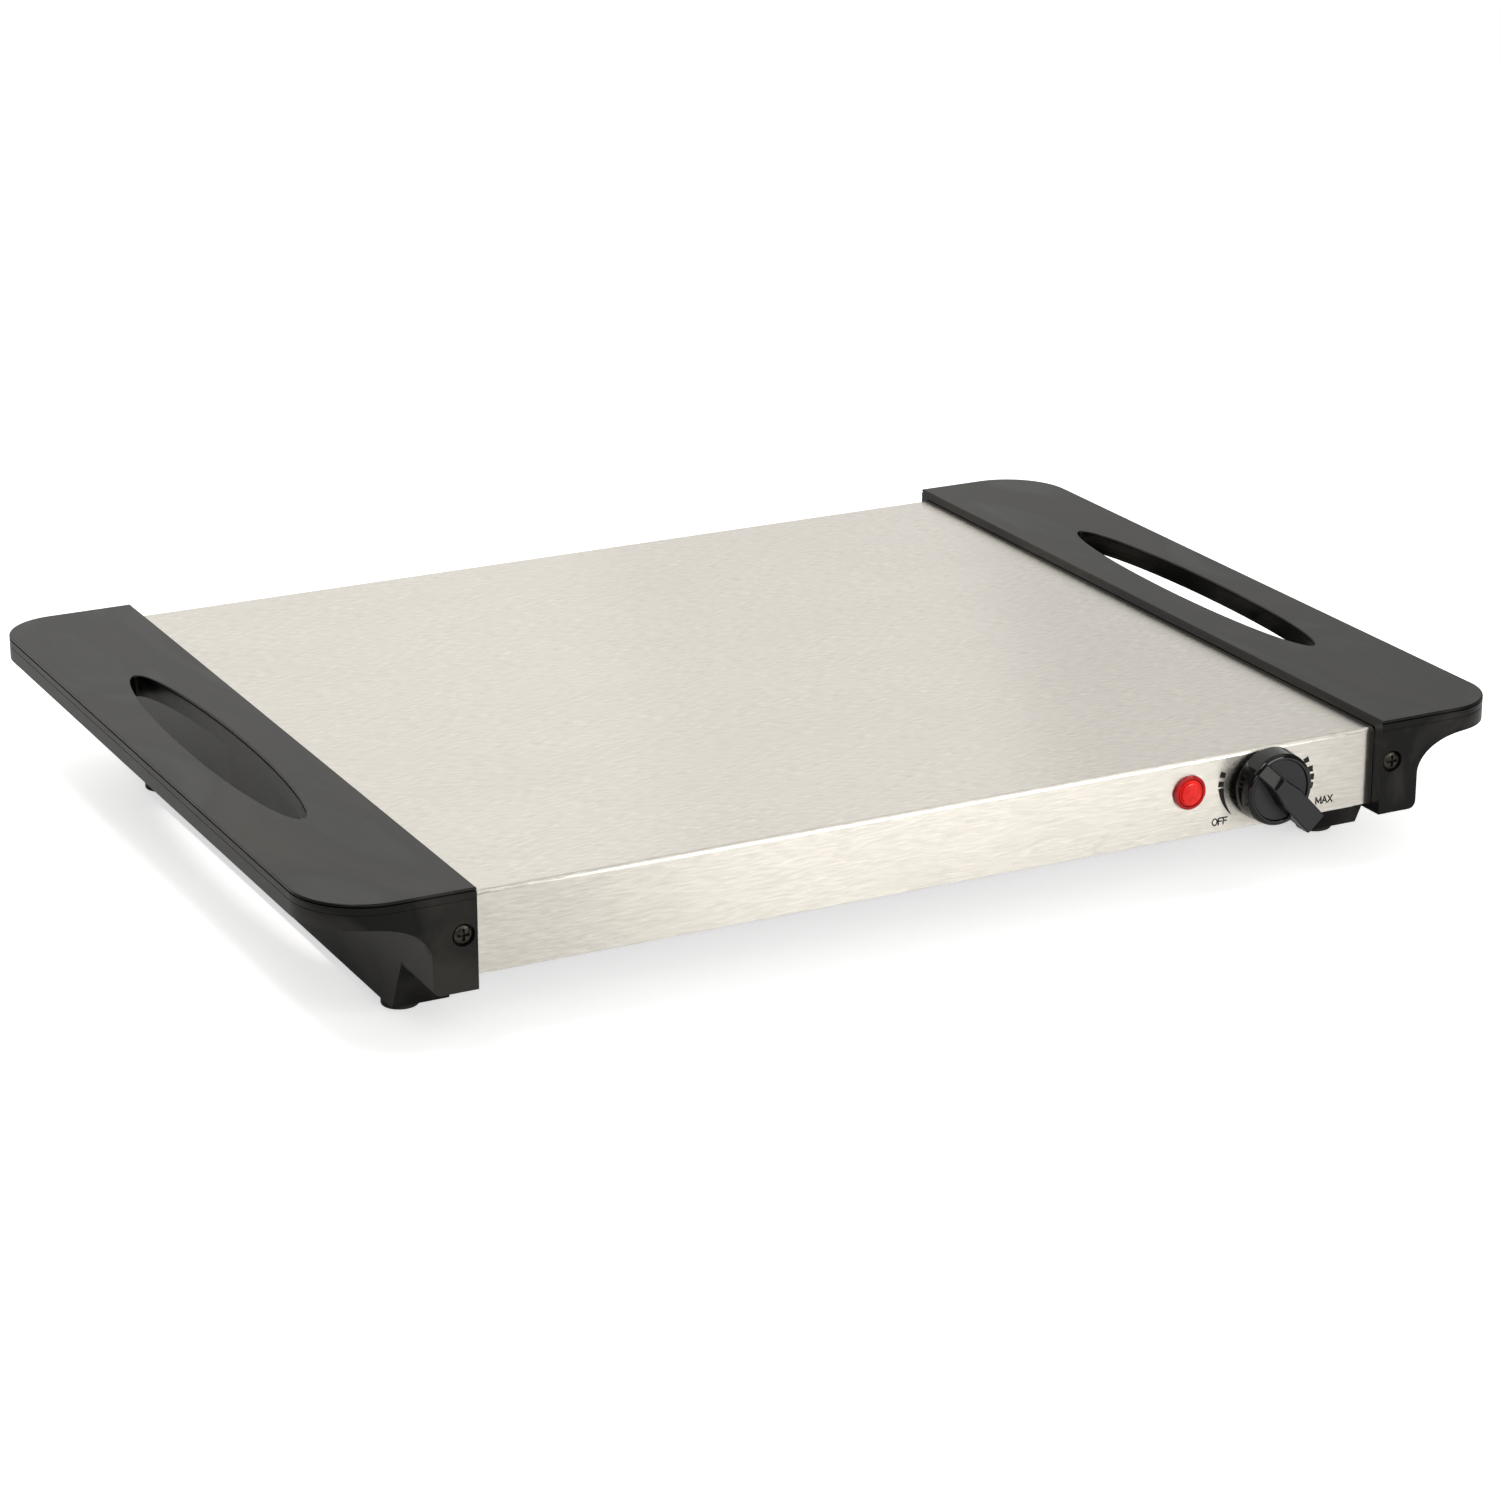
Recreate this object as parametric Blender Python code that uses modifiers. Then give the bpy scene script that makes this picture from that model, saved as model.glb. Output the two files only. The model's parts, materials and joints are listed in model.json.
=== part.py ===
"""Electric food warmer tray: a folded steel tray between two moulded handles, heated from below.

Metres, +Z up, +X to the tray's right as seen from its controls, +Y towards its back.
The origin is on the table, at the middle of the bounding box.
"""

import math

import bmesh
import bpy
from mathutils import Matrix, Vector

# Clearance between neighbouring pieces, overrun of cutters, and how finely round shapes are divided
GAP = 0.0003
OVERRUN = 0.002
ROUND_SIDES = 24
SMALL_SIDES = 14
ARC_STEPS = 8
WELD = 0.000001

# Folded steel shell
SHELL_VISIBLE_WIDTH = 0.428
SHELL_TUCK = 0.014
SHELL_DEPTH = 0.396
SHELL_HEIGHT = 0.035
SHEET = 0.0008
FOLD_RADIUS = 0.002
FOLD_STEPS = 3
SHELL_FLANGE = 0.010
SHELL_JOGGLE = 0.0004

# Moulded handles
HANDLE_WIDTH = 0.066
HANDLE_PROUD = 0.006
HANDLE_LIP = 0.0043
HANDLE_WIDE_CORNER_RADIUS = 0.032
HANDLE_TIGHT_CORNER_RADIUS = 0.026
HANDLE_RIM_RADIUS = 0.0012
HANDLE_RIM_STEPS = 2
HANDLE_WALL = 0.003
GRIP_HEIGHT = 0.011
LEG_THICKNESS = 0.0195
LEG_DROP = 0.0038
LEG_CORNER_RADIUS = 0.0035
SCOOP_WIDTH = 0.026
SCOOP_HEIGHT = 0.016
SLOT_LENGTH = 0.204
SLOT_WIDTH = 0.026
SLOT_SIDES = 40
SLOT_SKIRT_WALL = 0.0025
SLOT_SKIRT_HEIGHT = 0.010

# Foot runner under each handle
RUNNER_WIDTH = 0.025
RUNNER_DROP = 0.025
RUNNER_TOP_SETBACK = 0.026
RUNNER_BASE_SETBACK = 0.038
RUNNER_WALL = 0.003
RUNNER_PAD_LENGTH = 0.030

# Feet and their screws
FOOT_HEIGHT = 0.0057
FOOT_RADIUS = 0.008
FOOT_EDGE = 0.0008
FOOT_SETBACK = 0.055
FOOT_INSET = 0.0105
FOOT_RECESS_RADIUS = 0.0044
FOOT_RECESS_DEPTH = 0.0034
FOOT_SCREW_LENGTH = 0.013

# Control knob and thermostat
KNOB_X = 0.1578
KNOB_RISE = 0.019
KNOB_STANDOFF = 0.0024
KNOB_BASE_RADIUS = 0.016
KNOB_FACE_RADIUS = 0.0167
KNOB_BODY_HEIGHT = 0.0102
KNOB_RIM_WIDTH = 0.0012
KNOB_RIM_HEIGHT = 0.0006
KNOB_WALL = 0.002
KNOB_ROOF = 0.003
KNOB_HUB_RADIUS = 0.006
KNOB_SIDES = 40
POINTER_WIDTH = 0.0087
POINTER_PROUD = 0.0062
POINTER_REACH = 0.0226
POINTER_TAIL_START = 0.0085
POINTER_TIP_HEIGHT = 0.0035
POINTER_EDGE = 0.0007
POINTER_REST_ANGLE = math.radians(137)
SHAFT_RADIUS = 0.003
SHAFT_FLAT = 0.0022
SHAFT_FLAT_LENGTH = 0.008
SHAFT_DEPTH_IN_BODY = 0.009
SHAFT_HOLE_RADIUS = 0.004
BRACKET_WIDTH = 0.038
BRACKET_HEIGHT = 0.025
BRACKET_SHEET = 0.001
THERMOSTAT_WIDTH = 0.023
THERMOSTAT_HEIGHT = 0.024
THERMOSTAT_DEPTH = 0.022
THERMOSTAT_SCREW_OFFSET = 0.012

# Pilot lamp
LAMP_X = 0.1189
LAMP_RISE = 0.0208
LAMP_BEZEL_RADIUS = 0.0076
LAMP_BEZEL_HEIGHT = 0.0018
LAMP_BEZEL_EDGE = 0.0005
LAMP_TUBE_RADIUS = 0.006
LAMP_TUBE_LENGTH = 0.014
LAMP_TUBE_WALL = 0.0012
LAMP_SEAT_DEPTH = 0.0009
LAMP_LENS_RADIUS = 0.0059
LAMP_LENS_FACE_RADIUS = 0.0049
LAMP_LENS_HEIGHT = 0.002
LAMP_LENS_EDGE = 0.0006
LAMP_BODY_TAIL = 0.004
LAMP_RETAINER_RADIUS = 0.0095
LAMP_RETAINER_HEIGHT = 0.0015

# Screws: head radius and height, shank radius
HANDLE_SCREW_X_INSET = 0.006
HANDLE_SCREW_RISE = 0.020
HANDLE_SCREW_HEAD = 0.0041
HANDLE_SCREW_HEAD_HEIGHT = 0.0021
HANDLE_SCREW_SHANK = 0.0019
HANDLE_SCREW_REACH = 0.008
HANDLE_RECESS_RADIUS = 0.0048
HANDLE_RECESS_DEPTH = 0.0026
CROSS_LENGTH = 0.005
CROSS_WIDTH = 0.0012
CROSS_DEPTH = 0.0012
SMALL_SCREW_HEAD = 0.0028
SMALL_SCREW_HEAD_HEIGHT = 0.0016
SMALL_SCREW_SHANK = 0.0015
SMALL_SCREW_REACH = 0.0022
LARGE_SCREW_HEAD = 0.0038
LARGE_SCREW_HEAD_HEIGHT = 0.0021
LARGE_SCREW_SHANK = 0.002
SCREW_HOLE_PLAY = 0.0003

# Base plate, its screws and vents
BASE_SIDE_CLEARANCE = 0.0025
BASE_END_CLEARANCE = 0.002
BASE_SCREW_X = 0.150
BASE_SCREW_INSET = 0.006
VENT_LENGTH = 0.040
VENT_WIDTH = 0.004
VENT_PITCH = 0.012
VENT_COUNT = 5
VENT_ROW_X = 0.120

# Heating stack under the tray's top
STACK_WIDTH = 0.380
FRONT_BAY = 0.034
REAR_BAY = 0.034
SPREADER_THICKNESS = 0.0015
ELEMENT_RADIUS = 0.0033
ELEMENT_PASSES = 6
ELEMENT_PITCH = 0.056
ELEMENT_TURN_CLEARANCE = 0.014
ELEMENT_TAIL = 0.016
BEND_STEPS = 7
STRAP_WIDTH = 0.012
STRAP_SHEET = 0.001
STRAP_SIDE_CLEARANCE = 0.022
STRAP_TAB = 0.010
STRAP_COUNT = 3
REFLECTOR_SHEET = 0.0006
REFLECTOR_DEPTH = 0.0118
PAD_THICKNESS = 0.010
PAD_MARGIN = 0.004
RAIL_X = 0.080
RAIL_WIDTH = 0.014
RAIL_FLANGE = 0.008
RAIL_SHEET = 0.0008
RAIL_MARGIN = 0.006

# Thermal fuse and its clip
FUSE_X = 0.060
FUSE_SETBACK = 0.020
FUSE_RADIUS = 0.0026
FUSE_LENGTH = 0.013
FUSE_CLIP_WIDTH = 0.006
FUSE_CLIP_SHEET = 0.0006
FUSE_CLIP_TAB = 0.006

# Terminal block, earth stud and cord gland at the back
TERMINAL_X = 0.130
TERMINAL_WIDTH = 0.036
TERMINAL_DEPTH = 0.016
TERMINAL_HEIGHT = 0.0137
TERMINAL_BACK_CLEARANCE = 0.014
EARTH_OFFSET = 0.034
GLAND_RISE = 0.017
GLAND_FLANGE_RADIUS = 0.0085
GLAND_FLANGE_HEIGHT = 0.0035
GLAND_NECK_RADIUS = 0.0062
GLAND_NECK_LENGTH = 0.009
GLAND_BORE_RADIUS = 0.0036
GLAND_NUT_RADIUS = 0.010
GLAND_NUT_HEIGHT = 0.003
HEX_SIDES = 6

# Leads inside the tray
LEAD_RADIUS = 0.0012
LEAD_BEND_STEPS = 3
LEAD_LEVEL = 0.0045
LEAD_BEND = 0.008

# Places worked out from the sizes above
SHELL_WIDTH = SHELL_VISIBLE_WIDTH + 2 * SHELL_TUCK
HANDLE_INNER_X = SHELL_VISIBLE_WIDTH / 2
HANDLE_OUTER_X = HANDLE_INNER_X + HANDLE_WIDTH
KNOB_REACH = KNOB_STANDOFF + KNOB_BODY_HEIGHT + POINTER_PROUD
TOTAL_DEPTH = KNOB_REACH + SHELL_DEPTH + HANDLE_PROUD
FRONT_Y = KNOB_REACH - TOTAL_DEPTH / 2
BACK_Y = FRONT_Y + SHELL_DEPTH
MIDDLE_Y = (FRONT_Y + BACK_Y) / 2
SHELL_BASE_Z = FOOT_HEIGHT + GAP + RUNNER_DROP
SHELL_TOP_Z = SHELL_BASE_Z + SHELL_HEIGHT
HANDLE_TOP_Z = SHELL_TOP_Z + HANDLE_LIP
HANDLE_HALF_LENGTH = SHELL_DEPTH / 2 + HANDLE_PROUD
LEG_OUTER_X = HANDLE_INNER_X + LEG_THICKNESS
LEG_BASE_Z = SHELL_BASE_Z - LEG_DROP
RUNNER_BASE_Z = FOOT_HEIGHT + GAP
GRIP_BASE_Z = HANDLE_TOP_Z - GRIP_HEIGHT
SLOT_X = (HANDLE_INNER_X + HANDLE_OUTER_X) / 2
KNOB_Z = SHELL_BASE_Z + KNOB_RISE
LAMP_Z = SHELL_BASE_Z + LAMP_RISE
HANDLE_SCREW_X = HANDLE_INNER_X + HANDLE_SCREW_X_INSET
HANDLE_SCREW_Z = SHELL_BASE_Z + HANDLE_SCREW_RISE
FOOT_X = LEG_OUTER_X - FOOT_INSET
FOOT_Y_OFFSET = SHELL_DEPTH / 2 - FOOT_SETBACK
BASE_TOP_Z = SHELL_BASE_Z - GAP
BASE_HALF_WIDTH = LEG_OUTER_X - RUNNER_WIDTH - BASE_SIDE_CLEARANCE
BASE_BOTTOM_Z = BASE_TOP_Z - SHEET
STACK_FRONT_Y = FRONT_Y + FRONT_BAY
STACK_BACK_Y = BACK_Y - REAR_BAY
SPREADER_TOP_Z = SHELL_TOP_Z - SHEET - GAP
SPREADER_BASE_Z = SPREADER_TOP_Z - SPREADER_THICKNESS
ELEMENT_Z = SPREADER_BASE_Z - GAP - ELEMENT_RADIUS
ELEMENT_HALF_SPAN = ELEMENT_PITCH * (ELEMENT_PASSES - 1) / 2
ELEMENT_END_Y = STACK_FRONT_Y - ELEMENT_TAIL
REFLECTOR_TOP_Z = SPREADER_BASE_Z - GAP
REFLECTOR_BASE_Z = REFLECTOR_TOP_Z - REFLECTOR_DEPTH
PAD_TOP_Z = REFLECTOR_BASE_Z - GAP
PAD_BASE_Z = PAD_TOP_Z - PAD_THICKNESS
SKIRT_INNER = SHEET + GAP
BODY_FRONT_Y = FRONT_Y + SKIRT_INNER + BRACKET_SHEET + GAP
BODY_BACK_Y = BODY_FRONT_Y + THERMOSTAT_DEPTH
TERMINAL_BACK_Y = BACK_Y - TERMINAL_BACK_CLEARANCE
TERMINAL_FRONT_Y = TERMINAL_BACK_Y - TERMINAL_DEPTH
INSIDE_BASE_Z = BASE_TOP_Z + GAP
EARTH_X = TERMINAL_X + EARTH_OFFSET
GLAND_Z = SHELL_BASE_Z + GLAND_RISE

OUTLINE_AXES = {
    "X": Matrix(((0, 0, 1, 0), (1, 0, 0, 0), (0, 1, 0, 0), (0, 0, 0, 1))),
    "Y": Matrix(((1, 0, 0, 0), (0, 0, -1, 0), (0, 1, 0, 0), (0, 0, 0, 1))),
    "Z": Matrix.Identity(4),
}
FACE_FRONT = Matrix.Rotation(math.pi / 2, 4, "X")
FACE_BACK = Matrix.Rotation(-math.pi / 2, 4, "X")
FACE_DOWN = Matrix.Rotation(math.pi, 4, "X")
FACE_UP = Matrix.Identity(4)

FINISHES = {
    "brushed_steel": ((0.72, 0.71, 0.69), 1.0, 0.32),
    "zinc_steel": ((0.55, 0.56, 0.57), 1.0, 0.45),
    "aluminium": ((0.78, 0.78, 0.79), 1.0, 0.35),
    "element_steel": ((0.20, 0.19, 0.18), 1.0, 0.5),
    "black_moulding": ((0.03, 0.03, 0.029), 0.0, 0.42),
    "gloss_black": ((0.01, 0.01, 0.01), 0.0, 0.12),
    "rubber": ((0.02, 0.02, 0.02), 0.0, 0.8),
    "mineral_wool": ((0.75, 0.72, 0.60), 0.0, 0.95),
    "pale_plastic": ((0.85, 0.83, 0.78), 0.0, 0.4),
    "phenolic": ((0.12, 0.07, 0.05), 0.0, 0.5),
    "lamp_red": ((0.75, 0.02, 0.03), 0.0, 0.15),
    "lamp_glow": ((0.95, 0.10, 0.10), 0.0, 0.1),
    "screw_steel": ((0.62, 0.61, 0.60), 1.0, 0.3),
    "brown_lead": ((0.20, 0.09, 0.04), 0.0, 0.5),
    "blue_lead": ((0.05, 0.12, 0.45), 0.0, 0.5),
    "green_lead": ((0.10, 0.45, 0.10), 0.0, 0.5),
    "white_lead": ((0.8, 0.8, 0.78), 0.0, 0.5),
}


# Scene, collections and materials


def clear_scene():
    for item in list(bpy.data.objects):
        bpy.data.objects.remove(item)


def collection(name):
    made = bpy.data.collections.get(name)
    if made is None:
        made = bpy.data.collections.new(name)
        bpy.context.scene.collection.children.link(made)
    return made


def finish(name):
    made = bpy.data.materials.get(name)
    if made is not None:
        return made
    colour, metallic, roughness = FINISHES[name]
    made = bpy.data.materials.new(name)
    made.use_nodes = True
    shader = made.node_tree.nodes["Principled BSDF"]
    shader.inputs["Base Color"].default_value = (*colour, 1)
    shader.inputs["Metallic"].default_value = metallic
    shader.inputs["Roughness"].default_value = roughness
    return made


def place(name, mesh, finish_name=None, matrix=None):
    """Link a mesh as a sub-part, or as a cutter where it has no finish."""
    made = bpy.data.objects.new(name, mesh)
    if matrix is not None:
        made.matrix_world = matrix
    if finish_name is None:
        collection("cutters").objects.link(made)
        made.hide_render = True
        made.display_type = "WIRE"
        return made
    collection("food_warmer_tray").objects.link(made)
    if not mesh.materials:
        mesh.materials.append(finish(finish_name))
    return made


def mesh_of(name, shape):
    mesh = bpy.data.meshes.new(name)
    shape.to_mesh(mesh)
    shape.free()
    return mesh


def smooth_round(mesh):
    mesh.shade_smooth()
    mesh.set_sharp_from_angle(angle=math.radians(35))


# Basic solids


def box_mesh(name, low, high):
    low, high = Vector(low), Vector(high)
    size = high - low
    shape = bmesh.new()
    bmesh.ops.create_cube(shape, size=1)
    bmesh.ops.transform(shape, matrix=Matrix.Diagonal((*size, 1)), verts=shape.verts)
    bmesh.ops.translate(shape, vec=(low + high) / 2, verts=shape.verts)
    return mesh_of(name, shape)


def box(name, low, high, finish_name=None):
    return place(name, box_mesh(name, low, high), finish_name)


def rod(name, radius, start, end, finish_name=None, sides=SMALL_SIDES):
    """A round bar from one point to another."""
    start, end = Vector(start), Vector(end)
    along = end - start
    shape = bmesh.new()
    bmesh.ops.create_cone(shape, cap_ends=True, segments=sides, radius1=radius, radius2=radius, depth=along.length)
    turn = Vector((0, 0, 1)).rotation_difference(along).to_matrix().to_4x4()
    matrix = Matrix.Translation((start + end) / 2) @ turn
    bmesh.ops.transform(shape, matrix=matrix, verts=shape.verts)
    mesh = mesh_of(name, shape)
    smooth_round(mesh)
    return place(name, mesh, finish_name)


def outline_mesh(name, points, axis, low, high):
    """A flat outline, given in the two other axes' order, made solid from low to high along an axis."""
    curve = bpy.data.curves.new(name, "CURVE")
    curve.dimensions = "2D"
    curve.fill_mode = "BOTH"
    curve.extrude = (high - low) / 2
    spline = curve.splines.new("POLY")
    spline.points.add(len(points) - 1)
    for point, (a, b) in zip(spline.points, points):
        point.co = (a, b, 0, 1)
    spline.use_cyclic_u = True
    drawn = bpy.data.objects.new(name, curve)
    bpy.context.scene.collection.objects.link(drawn)
    graph = bpy.context.evaluated_depsgraph_get()
    mesh = bpy.data.meshes.new_from_object(drawn.evaluated_get(graph))
    bpy.data.objects.remove(drawn)
    bpy.data.curves.remove(curve)
    shift = Vector([(low + high) / 2 if letter == axis else 0 for letter in "XYZ"])
    shape = bmesh.new()
    shape.from_mesh(mesh)
    bmesh.ops.remove_doubles(shape, verts=shape.verts, dist=WELD)
    bmesh.ops.transform(shape, matrix=Matrix.Translation(shift) @ OUTLINE_AXES[axis], verts=shape.verts)
    bmesh.ops.recalc_face_normals(shape, faces=shape.faces)
    shape.to_mesh(mesh)
    shape.free()
    return mesh


def outline(name, points, axis, low, high, finish_name=None):
    return place(name, outline_mesh(name, points, axis, low, high), finish_name)


def turned(name, profile, matrix, finish_name=None, closed=False, sides=ROUND_SIDES):
    """A profile of (radius, height) points, top to bottom down its outer side, turned about its height."""
    mesh = bpy.data.meshes.new(name)
    count = len(profile)
    edges = [(i, i + 1) for i in range(count - 1)]
    if closed:
        edges.append((count - 1, 0))
    mesh.from_pydata([(radius, 0, height) for radius, height in profile], edges, [])
    made = place(name, mesh, finish_name, matrix)
    screw = made.modifiers.new("Turn", "SCREW")
    screw.steps = screw.render_steps = sides
    screw.use_merge_vertices = True
    screw.merge_threshold = WELD
    screw.use_smooth_shade = False
    return made


def folded(name, path, axis, low, high, sheet, finish_name):
    """A bent strip: an open path drawn in the two other axes' order, swept from low to high, given a sheet's thickness."""
    shape = bmesh.new()
    turn = OUTLINE_AXES[axis]
    step = turn @ Vector((0, 0, 1)) * (high - low)
    if axis == "Y":
        step = -step
    start = Vector([low if letter == axis else 0 for letter in "XYZ"])
    points = [start + turn @ Vector((a, b, 0)) for a, b in path]
    near = [shape.verts.new(point) for point in points]
    far = [shape.verts.new(point + step) for point in points]
    for i in range(len(path) - 1):
        shape.faces.new((near[i], near[i + 1], far[i + 1], far[i]))
    made = place(name, mesh_of(name, shape), finish_name)
    solid = made.modifiers.new("Sheet", "SOLIDIFY")
    solid.thickness = sheet
    solid.offset = 0
    solid.use_even_offset = True
    return made


def rounded_route(points):
    """Straight spans between the given points, each corner rounded off over at most LEAD_BEND."""
    points = [Vector(point) for point in points]
    route = [points[0]]
    for before, corner, after in zip(points, points[1:], points[2:]):
        arrive, leave = before - corner, after - corner
        start = corner + arrive.normalized() * min(LEAD_BEND, arrive.length / 2)
        end = corner + leave.normalized() * min(LEAD_BEND, leave.length / 2)
        for step in range(LEAD_BEND_STEPS + 1):
            t = step / LEAD_BEND_STEPS
            route.append(start.lerp(corner, t).lerp(corner.lerp(end, t), t))
    route.append(points[-1])
    apart = [b for a, b in zip(route, route[1:]) if (b - a).length > LEAD_RADIUS / 4]
    return [route[0], *apart]


def tube(name, points, radius, finish_name):
    curve = bpy.data.curves.new(name, "CURVE")
    curve.dimensions = "3D"
    curve.bevel_depth = radius
    curve.bevel_resolution = 2
    curve.use_fill_caps = True
    spline = curve.splines.new("POLY")
    spline.points.add(len(points) - 1)
    for point, place_at in zip(spline.points, points):
        point.co = (*place_at, 1)
    made = bpy.data.objects.new(name, curve)
    collection("food_warmer_tray").objects.link(made)
    curve.materials.append(finish(finish_name))
    return made


def combine(target, tool, operation="DIFFERENCE"):
    """Cut or join a target with a tool, which goes to the cutters."""
    made = target.modifiers.new(tool.name, "BOOLEAN")
    made.operation = operation
    made.solver = "EXACT"
    made.object = tool
    return target


def cutter_group(name, objects):
    """Separate cutters that don't meet, joined into one object in world space."""
    graph = bpy.context.evaluated_depsgraph_get()
    shape = bmesh.new()
    for item in objects:
        mesh = bpy.data.meshes.new_from_object(item.evaluated_get(graph))
        mesh.transform(item.matrix_world)
        shape.from_mesh(mesh)
    for item in objects:
        bpy.data.objects.remove(item)
    return place(name, mesh_of(name, shape))


def baked(target, *tools):
    """The mesh that a target's modifiers make, once its tools are no longer needed."""
    bpy.context.view_layer.update()
    graph = bpy.context.evaluated_depsgraph_get()
    mesh = bpy.data.meshes.new_from_object(target.evaluated_get(graph))
    for item in (target, *tools):
        bpy.data.objects.remove(item)
    return mesh


def arc(centre_a, centre_b, radius_a, radius_b, start, end, steps=ARC_STEPS):
    """Points along an arc of a circle or an ellipse, both ends included, angles in degrees."""
    points = []
    for step in range(steps + 1):
        angle = math.radians(start + (end - start) * step / steps)
        points.append((centre_a + radius_a * math.cos(angle), centre_b + radius_b * math.sin(angle)))
    return points


def ellipse(centre_a, centre_b, radius_a, radius_b, sides):
    return arc(centre_a, centre_b, radius_a, radius_b, 0, 360, sides)[:-1]


def d_outline(radius, flat, sides=SMALL_SIDES):
    """A circle with a flat across it, at a distance from its middle."""
    half = math.degrees(math.acos(flat / radius))
    return arc(0, 0, radius, radius, 90 + half, 450 - half, sides)


# Folded shell


def fold_block(name, inset, floor_rise, finish_name=None):
    """A block with every edge rounded but the floor's, the shell's outside or its inside."""
    half = SHELL_WIDTH / 2 - inset
    low = (-half, FRONT_Y + inset, SHELL_BASE_Z + floor_rise)
    high = (half, BACK_Y - inset, SHELL_TOP_Z - inset)
    shape = bmesh.new()
    shape.from_mesh(box_mesh(name, low, high))
    floor = min(shape.faces, key=lambda face: face.calc_center_median().z)
    folds = [edge for edge in shape.edges if edge not in list(floor.edges)]
    bmesh.ops.bevel(
        shape, geom=folds, offset=FOLD_RADIUS - inset, segments=FOLD_STEPS, profile=0.5, affect="EDGES"
    )
    return place(name, mesh_of(name, shape), finish_name)


def make_shell():
    """A sheet folded down on four sides, with a narrow flange turned in at the foot of each."""
    shell = fold_block("tray_shell", 0, 0, "brushed_steel")
    combine(shell, fold_block("shell_inside", SHEET, SHEET))
    half = SHELL_WIDTH / 2 - SHELL_FLANGE
    low = (-half, FRONT_Y + SHELL_FLANGE, SHELL_BASE_Z - OVERRUN)
    combine(shell, box("shell_opening", low, (half, BACK_Y - SHELL_FLANGE, SHELL_BASE_Z + SHEET + OVERRUN)))
    combine(shell, shell_joggles())
    combine(shell, shell_holes())


def shell_joggles():
    """What the top is lowered by under each handle's lip, so that its open face ends there."""
    steps = []
    for side in (-1, 1):
        near, far = side * (HANDLE_INNER_X - GAP), side * (SHELL_WIDTH / 2 + OVERRUN)
        low = (min(near, far), FRONT_Y - OVERRUN, SHELL_TOP_Z - SHELL_JOGGLE)
        steps.append(box("shell_joggle", low, (max(near, far), BACK_Y + OVERRUN, SHELL_TOP_Z + OVERRUN)))
    return cutter_group("shell_joggles", steps)


def shell_holes():
    """Holes for the shaft, its screws, the lamp, the gland, the handle screws and the base screws."""
    holes = [
        skirt_hole("shaft_hole", KNOB_X, KNOB_Z, SHAFT_HOLE_RADIUS),
        skirt_hole("lamp_hole", LAMP_X, LAMP_Z, LAMP_TUBE_RADIUS + GAP),
        skirt_hole("gland_hole", TERMINAL_X, GLAND_Z, GLAND_NECK_RADIUS + GAP, back=True),
    ]
    for side in (-1, 1):
        small = SMALL_SCREW_SHANK + SCREW_HOLE_PLAY
        holes.append(skirt_hole("bracket_hole", KNOB_X + side * THERMOSTAT_SCREW_OFFSET, KNOB_Z, small))
        for back in (False, True):
            radius = HANDLE_SCREW_SHANK + SCREW_HOLE_PLAY
            holes.append(skirt_hole("handle_hole", side * HANDLE_SCREW_X, HANDLE_SCREW_Z, radius, back))
    holes += base_screw_holes("flange_hole", SHELL_BASE_Z - GAP / 2, SHELL_BASE_Z + SHEET + OVERRUN)
    return cutter_group("shell_holes", holes)


def skirt_hole(name, x, z, radius, back=False):
    y = BACK_Y if back else FRONT_Y
    return rod(name, radius, (x, y - OVERRUN, z), (x, y + OVERRUN, z))


def base_screw_places():
    for y in (FRONT_Y + BASE_SCREW_INSET, BACK_Y - BASE_SCREW_INSET):
        for x in (-BASE_SCREW_X, 0, BASE_SCREW_X):
            yield x, y


def base_screw_holes(name, low, high):
    radius = SMALL_SCREW_SHANK + SCREW_HOLE_PLAY
    return [rod(name, radius, (x, y, low), (x, y, high)) for x, y in base_screw_places()]


# Base plate


def make_base_plate():
    low = (-BASE_HALF_WIDTH, FRONT_Y + BASE_END_CLEARANCE, BASE_BOTTOM_Z)
    high = (BASE_HALF_WIDTH, BACK_Y - BASE_END_CLEARANCE, BASE_TOP_Z)
    plate = box("base_plate", low, high, "zinc_steel")
    bottom, top = BASE_BOTTOM_Z - OVERRUN, BASE_TOP_Z + OVERRUN
    holes = base_screw_holes("base_hole", bottom, top)
    for x, y in ((TERMINAL_X, (TERMINAL_FRONT_Y + TERMINAL_BACK_Y) / 2), (EARTH_X, TERMINAL_FRONT_Y)):
        holes.append(rod("stud_hole", LARGE_SCREW_SHANK + SCREW_HOLE_PLAY, (x, y, bottom), (x, y, top)))
    for side in (-1, 1):
        for i in range(VENT_COUNT):
            y = MIDDLE_Y + (i - (VENT_COUNT - 1) / 2) * VENT_PITCH
            x = side * VENT_ROW_X
            low = (x - VENT_LENGTH / 2, y - VENT_WIDTH / 2, bottom)
            holes.append(box("vent", low, (x + VENT_LENGTH / 2, y + VENT_WIDTH / 2, top)))
    combine(plate, cutter_group("base_plate_holes", holes))


# Handles


def handle_plan():
    """The right handle seen from above, round the tray's middle."""
    return corner_plan(HANDLE_INNER_X, 0, HANDLE_HALF_LENGTH)


def corner_plan(inner_x, inset, half_length):
    """A handle's outline set in by some wall: the tighter corner in front, the wider one behind."""
    tight = HANDLE_TIGHT_CORNER_RADIUS - inset
    wide = HANDLE_WIDE_CORNER_RADIUS - inset
    outer_x = HANDLE_OUTER_X - inset
    front = arc(outer_x - tight, tight - half_length, tight, tight, -90, 0)
    back = arc(outer_x - wide, half_length - wide, wide, wide, 0, 90)
    return [(inner_x, -half_length), *front, *back, (inner_x, half_length)]


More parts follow.
